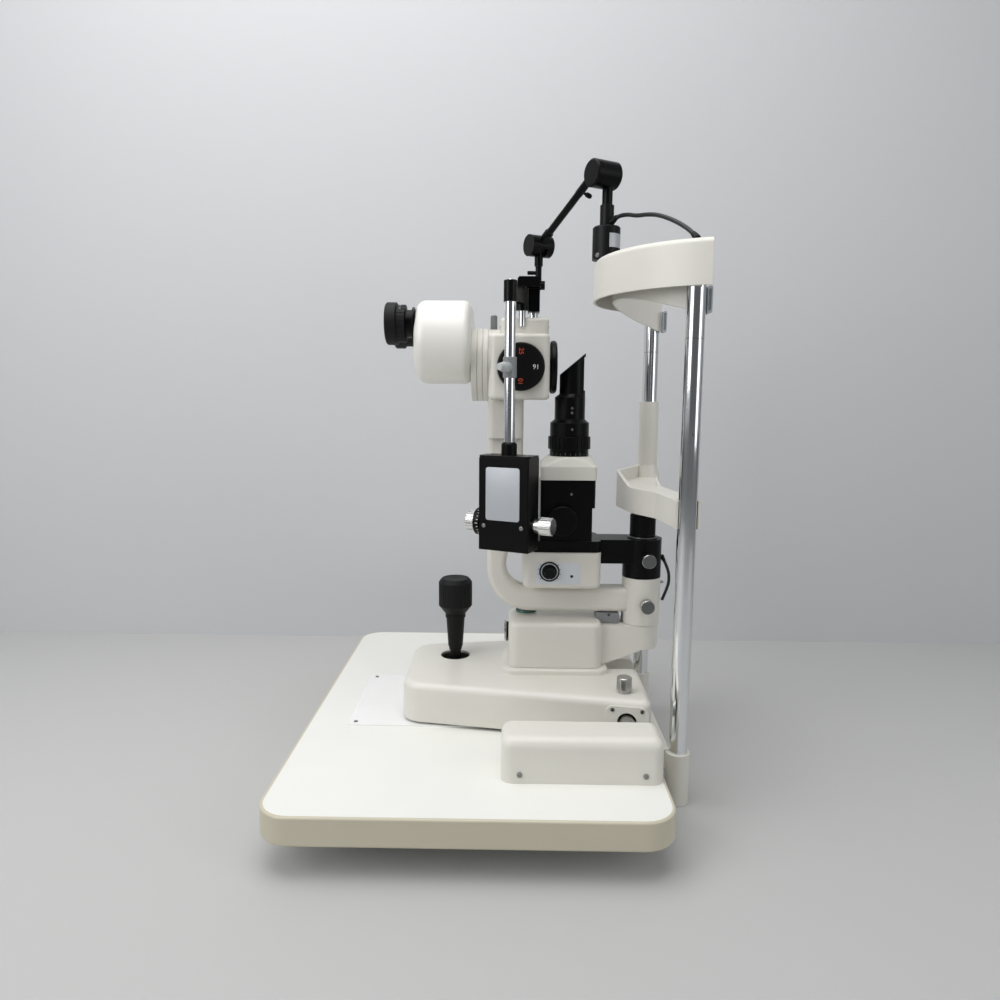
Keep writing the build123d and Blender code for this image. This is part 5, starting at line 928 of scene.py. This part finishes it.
UP, NEAR, LEFT, RIGHT = (0, 0, 1), (0, -1, 0), (-1, 0, 0), (1, 0, 0)
DIAL_MARK_OUT, FOOT_NUT_OUT = (-0.755, -0.655, 0), (-0.66, -0.75, 0)
GRUB_OUT, LEVER_OUT = (-0.387, -0.922, 0), (0.830, 0.479, -0.285)
LAMP_FRONT = -37
LAMP_KNOB = (82, LAMP_FRONT, 170)
LEVEL_SPOT, PLUG_SPOT = (57, 18, 111), (36, 0, 89)
POST_X, POST_SPREAD, EYE_MARK_HEIGHT = 217, 118, 425
TURNED_STEPS = 48
LEVER = ((0, -0.8), (1.6, -0.8), (1.6, 3.6), (2.8, 4.8), (2.9, 9.6), (2.1, 11.4), (0, 11.8))
TURNED = (
    ("dial_mark", disc(1.1, -0.3, 0.15), (13.2, -38.9, 400), DIAL_MARK_OUT,
     "microscope", "ink_and_hole_shade", "black_metal"),
    ("lamp_knob_collar", ring(9.9, 11.7, 0.3, 1.5, 0.4), LAMP_KNOB, NEAR,
     "illumination", "ink_and_hole_shade", "steel"),
    ("lamp_knob_ring", ring(8.5, 9.9, 0.3, 1.1, 0.2), LAMP_KNOB, NEAR,
     "illumination", "panel", "steel"),
    # The pilot hole on the lamp front is a flat black disc: painted shade in place of the hole's dark
    # inside.
    ("pilot_hole_shade", disc(1.7, 0.3, 0.8), (107.5, LAMP_FRONT, 164.6), NEAR,
     "illumination", "ink_and_hole_shade", "black_plastic"),
    ("pivot_washer", ring(15.3, 17.6, -0.2, 1.6, 0.4), (193, 0, 204.4), UP,
     "lift", "dark_steel", "chrome"),
    ("level_frame", ring(10.6, 12.3, -0.3, 0.5), LEVEL_SPOT, UP,
     "lift", "black_metal", "black_metal"),
    ("level_line", ring(4.0, 4.4, -0.2, 0.1, 0.05), LEVEL_SPOT, UP,
     "lift", "ink_and_hole_shade", "black_metal"),
    ("level_bubble", disc(3.0, -0.2, 0.15, 0.1), (57.6, 17.2, 111), UP,
     "lift", "milky", "level"),
    ("cover_plug", disc(10.4, -0.5, 2.6, 0.3), PLUG_SPOT, LEFT,
     "lift", "black_plastic", "black_plastic"),
    ("cover_plug_cap", ring(0.0, 11.6, 2.6, 5.0, 0.6), PLUG_SPOT, LEFT,
     "lift", "knob", "knob"),
    ("stop_pin", disc(1.6, -0.6, 4.2, 0.4), (215.4, 0, 150.4), RIGHT,
     "microscope", "steel", "steel"),
    ("rod_end", disc(3.2, -0.2, 0.9, 0.5), (35, -68, 488), UP,
     "tonometer", "chrome", "chrome"),
    ("boom_lever", LEVER, (115.9, 14.8, 596.6), LEVER_OUT,
     "fixation_boom", "black_plastic", "black_metal"),
    ("lamp_foot_nut", disc(2.6, -0.4, 1.8, 0.5), (131.4, -11.7, 523.5), FOOT_NUT_OUT,
     "stand", "dark_steel", "chrome"),
    ("lift_grub", disc(1.3, -0.3, 0.2, 0.1), (184.3, -20.75, 168.6), GRUB_OUT,
     "illumination", "black_metal", "steel"),
)
for name, profile, spot, outward, body, look, slot in TURNED:
    place = frame_at(spot, outward, upward_for(outward))
    settle(turned(name, profile, TURNED_STEPS), place, body, slot, finishes[look])
for side, sign in (("near", -1), ("far", 1)):
    settle(
        turned(f"eye_height_ring_{side}", ring(9.1, 9.42, -0.45, 0.45, 0.1)),
        frame_at((POST_X, POST_SPREAD * sign, EYE_MARK_HEIGHT), UP, (0, 1, 0)),
        "stand", "black_metal", finishes["ink_and_hole_shade"],
    )
print("turned pieces", len(TURNED) + 2)

# %% [markdown]
# Thin metal plates cover the tonometer's housing and the front of the lamp box under its
# knob, and a small one is wrapped round the fixation lamp's foot.

# %% Thin plates
def tono_spot(along, out, height):
    """A drawing point on the tonometer from its distances to the right, outward and up."""
    flat = ROD + TONO_RIGHT * along + TONO_FRONT * out
    return (flat.x, flat.y, height)


TONO_OUT, TONO_FACE, LID_TOP = (TONO_FRONT.x, TONO_FRONT.y, 0), 14.45, 304.95
plate = rounded_plate("housing_plate", 40, 57.4, 0.5, 3)
place = frame_at(tono_spot(-0.6, TONO_FACE, 263.8), TONO_OUT)
settle(plate, place, "tonometer", "steel", finishes["plate"])

CONTROL_MIDDLE = (91.6, LAMP_FRONT, 167.45)
plate = rounded_plate("control_plate", 50.4, 25.1, 0.5, 1.2, 0.12)
hole = rod("knob_hole", 9.3, 4, 64, -2)
hole.location = (mm(LAMP_KNOB[0] - CONTROL_MIDDLE[0]), mm(LAMP_KNOB[2] - CONTROL_MIDDLE[2]), 0)
activate(hole)
bpy.ops.object.transform_apply(location=True)
plate = cut_out(plate, hole)
settle(plate, frame_at(CONTROL_MIDDLE, NEAR), "illumination", "steel", finishes["panel"])


def wrapped_plate(name, width, height, thickness, radius):
    """A thin plate bent round an upright cylinder, its middle at the front."""
    deselect()
    bpy.ops.mesh.primitive_grid_add(x_subdivisions=16, y_subdivisions=2, size=1)
    piece = bpy.context.object
    piece.name = name
    piece.scale = (mm(width), mm(height), 1)
    bpy.ops.object.transform_apply(scale=True)
    bpy.ops.object.mode_set(mode="EDIT")
    bpy.ops.mesh.select_all(action="SELECT")
    bpy.ops.mesh.extrude_region_move(TRANSFORM_OT_translate={"value": (0, 0, mm(thickness))})
    bpy.ops.mesh.select_all(action="SELECT")
    bpy.ops.mesh.normals_make_consistent(inside=False)
    to_object()
    for vertex in piece.data.vertices:
        angle = vertex.co.x / mm(radius)
        reach = mm(radius) + vertex.co.z
        vertex.co = (reach * math.sin(angle), vertex.co.y, reach * math.cos(angle))
    return piece


FOOT_RADIUS, FOOT_SINK, FOOT_PLATE_TURN = 15.5, 0.1, 43.0
turn = math.radians(FOOT_PLATE_TURN)
plate = wrapped_plate("foot_plate", 20, 15, 0.25, FOOT_RADIUS - FOOT_SINK)
place = frame_at((141.7, 0, 539.5), (math.sin(turn), -math.cos(turn), 0))
settle(plate, place, "stand", "steel", finishes["plate"])
print("thin plates", 3)

# %% [markdown]
# A sloping mirror stands in the head of the lamp tower and throws the slit of light
# towards the eye. It's a thin silvered glass with ground edges.

# %% Mirror
MIRROR_FOOT, MIRROR_TOP = Vector((101.6, 0, 376.0)), Vector((118.2, 0, 410.0))
mirror_height = (MIRROR_TOP - MIRROR_FOOT).length
slope = (MIRROR_TOP - MIRROR_FOOT).normalized()
facing = Vector((slope.z, 0, -slope.x))
mirror = rounded_plate("mirror", 15.6, mirror_height, 1.0, 0.8, 0.15)
place = frame_at((MIRROR_FOOT + MIRROR_TOP) / 2, facing, slope)
settle(mirror, place, "illumination", "chrome", finishes["chrome"])
print("mirror", round(mirror_height, 1), "mm high")

# %% [markdown]
# Screws hold the covers, the bearing plates, the tonometer's housing and the castings.
# Each sits where its fixing is on the real instrument, with its recess at its own angle.

# %% Screws in their places
place_screws(
    "rail_cover_screw", screw("pattern", 2.7, 1.4, "cross"),
    [((x, 200 * sign, 9), (0, sign, 0)) for sign in (-1, 1) for x in (48, 169)], "stand",
)
SIDE_ANGLE = math.atan((117.0 - 70.0) / (190.0 + 84.0))
PLATE_Y, PLATE_PITCH = 112.37 + 2.0, 15.5
place_screws(
    "bearing_plate_screw", screw("pattern", 2.2, 1.2, "hex"),
    [
        ((163 + PLATE_PITCH * step,
          sign * (PLATE_Y + PLATE_PITCH * step * math.tan(SIDE_ANGLE)), 38.0),
         (-math.sin(SIDE_ANGLE), sign * math.cos(SIDE_ANGLE), 0))
        for sign in (-1, 1) for step in (-1, 1)
    ],
    "carriage",
)
place_screws(
    "housing_screw", screw("pattern", 2.3, 1.2, "hex"),
    [(tono_spot(along, TONO_FACE, 228.7), TONO_OUT) for along in (-22.7, 21.8)], "tonometer",
)
place_screws(
    "lid_screw", screw("pattern", 2.2, 1.0, "cross"),
    [(tono_spot(along, 0, LID_TOP), UP) for along in (-22, 22)], "tonometer",
)
place_screws(
    "tower_grub", screw("pattern", 1.5, 0.8, "hex", 0.2),
    [((105.8, -17.35, 354.9), NEAR), ((105.8, -17.35, 349.5), NEAR), ((105.8, -22.35, 331), NEAR)],
    "illumination",
)
place_screws(
    "slit_housing_screw", screw("pattern", 1.5, 0.7, "cross", 0.25),
    [((106, -28.95, 258.0), NEAR)], "illumination",
)
place_screws(
    "top_cover_screw", screw("pattern", 1.6, 0.8, "hex", 0.2),
    [((24.05, -14, 445), LEFT), ((77.95, -14, 445), RIGHT)], "microscope",
)
place_screws(
    "glide_plate_screw", screw("pattern", 2.4, 0.6, "cross", 0.25),
    [((x, y, 1.45), UP) for x in (-136, -2) for y in (-69, 69)], "stand",
)

# %% [markdown]
# Scales are rows of short strokes. A stroke is a tiny block laid on the surface, so a scale
# is one stroke repeated round a ring or along a line, joined into one piece.

# %% Strokes of the scales
STROKE_RELIEF, LONG_STROKE = 0.12, 1.5


def strokes(name, places, body, look="figure"):
    """Short strokes joined in one piece. Each place gives spot, outward, upward, width and height."""
    pieces = []
    for index, (spot, outward, upward, width, height) in enumerate(places):
        stroke = block(f"{name}_{index}", width, height, 2 * STROKE_RELIEF, -STROKE_RELIEF)
        bevelled(stroke, 0.04, 1)
        activate(stroke)
        stroke.matrix_world = frame_at(spot, outward, upward)
        bpy.ops.object.transform_apply(location=True, rotation=True, scale=True)
        pieces.append(stroke)
    piece = joined(name, pieces)
    settle(piece, Matrix.Identity(4), body, "white_paint", finishes[look], 0)
    print(name, len(places), "strokes")


def round_scale(name, centre, radius, height, angles, length, body, width=0.5, look="figure"):
    """Upright strokes round a vertical cylinder; every third one is longer."""
    places = []
    for index, degree in enumerate(angles):
        turn = math.radians(degree)
        outward = (math.cos(turn), math.sin(turn), 0)
        tall = length * (LONG_STROKE if index % 3 == 0 else 1.0)
        spot = (centre[0] + radius * outward[0], centre[1] + radius * outward[1], height + tall / 2)
        places.append((spot, outward, UP, width, tall))
    strokes(name, places, body, look)


round_scale(
    "aperture_scale", (104.5, 0), 22.5, 301.2, range(-150, 151, 15), 2.2, "aperture", 0.45, "faint"
)
for side, sign, angles in (("near", -1, (200, 270)), ("far", 1, (90, 160))):
    round_scale(
        f"post_scale_{side}", (POST_X, sign * POST_SPREAD), 9.6, 330, angles, 3.0, "stand", 0.6, "ink_and_hole_shade"
    )

DRUM_STROKES = 24
drum_places = []
for step in range(DRUM_STROKES):
    turn = 2 * math.pi * step / DRUM_STROKES
    sideways, upwards = math.cos(turn), math.sin(turn)
    outward = Vector((TONO_FRONT.x * sideways, TONO_FRONT.y * sideways, upwards))
    length = 3.4 if step % 4 == 0 else 1.8
    middle = DRUM_END - 0.9 - length / 2
    flat = ROD + TONO_RIGHT * middle + TONO_FRONT * (DRUM_RADIUS * sideways)
    spot = (flat.x, flat.y, KNOB_HEIGHT + DRUM_RADIUS * upwards)
    along = (TONO_RIGHT.x, TONO_RIGHT.y, 0)
    drum_places.append((spot, outward, along, 0.6, length))
strokes("measuring_scale", drum_places, "measuring_drum")

EYE_HEIGHT, EYE_HALF, DIOPTRE_X, DIOPTRE_RADIUS = 446.0, 31.5, -85.0, 20.5
for side, sign in (("near", -1), ("far", 1)):
    places = []
    for step in range(-3, 4):
        turn = math.radians(14 * step)
        outward = (0, math.sin(turn), math.cos(turn))
        across = sign * EYE_HALF + DIOPTRE_RADIUS * outward[1]
        spot = (DIOPTRE_X, across, EYE_HEIGHT + DIOPTRE_RADIUS * outward[2])
        places.append((spot, outward, RIGHT, 0.5, 3.2 if step == 0 else 2.0))
    strokes(f"dioptre_scale_{side}", places, f"cup_{side}")

SCALE_REACH, PLATE_LOW, PLATE_HIGH = 12.6, 155.8, 179.2
control_places = []
for degree in range(-40, 221, 26):
    turn = math.radians(degree)
    ray = (math.cos(turn), 0, math.sin(turn))
    spot = (LAMP_KNOB[0] + SCALE_REACH * ray[0], LAMP_FRONT - 0.5, LAMP_KNOB[2] + SCALE_REACH * ray[2])
    if PLATE_LOW < spot[2] < PLATE_HIGH:
        control_places.append((spot, NEAR, ray, 0.5, 1.8))
strokes("lamp_knob_scale", control_places, "illumination", "ink_and_hole_shade")
strokes("lamp_knob_pointer", [((LAMP_KNOB[0], -40.3, 162.5), NEAR, UP, 0.9, 1.9)], "rheostat")

# %% [markdown]
# The stop block on the lift arm is a small machined piece with a drilled hole; it keeps the
# swinging arms from turning too far. Short rubber sleeves guard the leads where they leave
# the lamp's foot, the band and the pivot.

# %% Stop block and lead sleeves
stop = block("stop_block", 27, 24, 12.4)
pick_faces(stop, lambda centre, normal: normal.z > LEVEL_FACE)
bpy.ops.mesh.inset(thickness=mm(1.2), depth=0)
bpy.ops.transform.translate(value=(0, 0, mm(0.5)))
to_object()
hole = rod("stop_hole", 1.6, 6, 24, -3)
activate(hole)
lying = Matrix.Rotation(math.pi / 2, 4, "X")
hole.matrix_world = Matrix.Translation((mm(1.5), mm(-12), mm(10.4))) @ lying
bpy.ops.object.transform_apply(location=True, rotation=True)
stop = bevelled(cut_out(stop, hole), 0.3)
settle(stop, Matrix.Translation(at(153, 0, 102.1)), "lift", "steel", finishes["grey_paint"])

SLEEVE = ((0.0, -1.5), (3.6, -1.5), (3.5, 1.0), (3.1, 4.0), (2.7, 7.0), (2.3, 8.0), (0.0, 8.0))


def sleeve(name, start, toward, share, body):
    """A tapered rubber sleeve round a lead's end."""
    profile = [(share * radius, share * height) for radius, height in SLEEVE]
    outward = (Vector(toward) - Vector(start)).normalized()
    place = frame_at(start, outward, upward_for(outward))
    settle(turned(name, profile, 32), place, body, "rubber", finishes["rubber"])


lamp_route = LEADS["lamp_cable"]["route"]
loop_route = LEADS["illumination_cable"]["route"]
sleeve("lamp_lead_sleeve", lamp_route[0], lamp_route[1], 1.0, "stand")
sleeve("band_lead_sleeve", lamp_route[-1], lamp_route[-2], 1.0, "stand")
sleeve("arm_lead_sleeve", loop_route[0], loop_route[1], 0.78, "illumination")
print("stop block and 3 sleeves")

# %% [markdown]
# The length of each lead along its smooth line is printed.

# %% Lead lengths and the end
for node, facts in LEADS.items():
    print(node, "lead", round(1000 * lead_length(leads[node]), 1), "mm along its line")
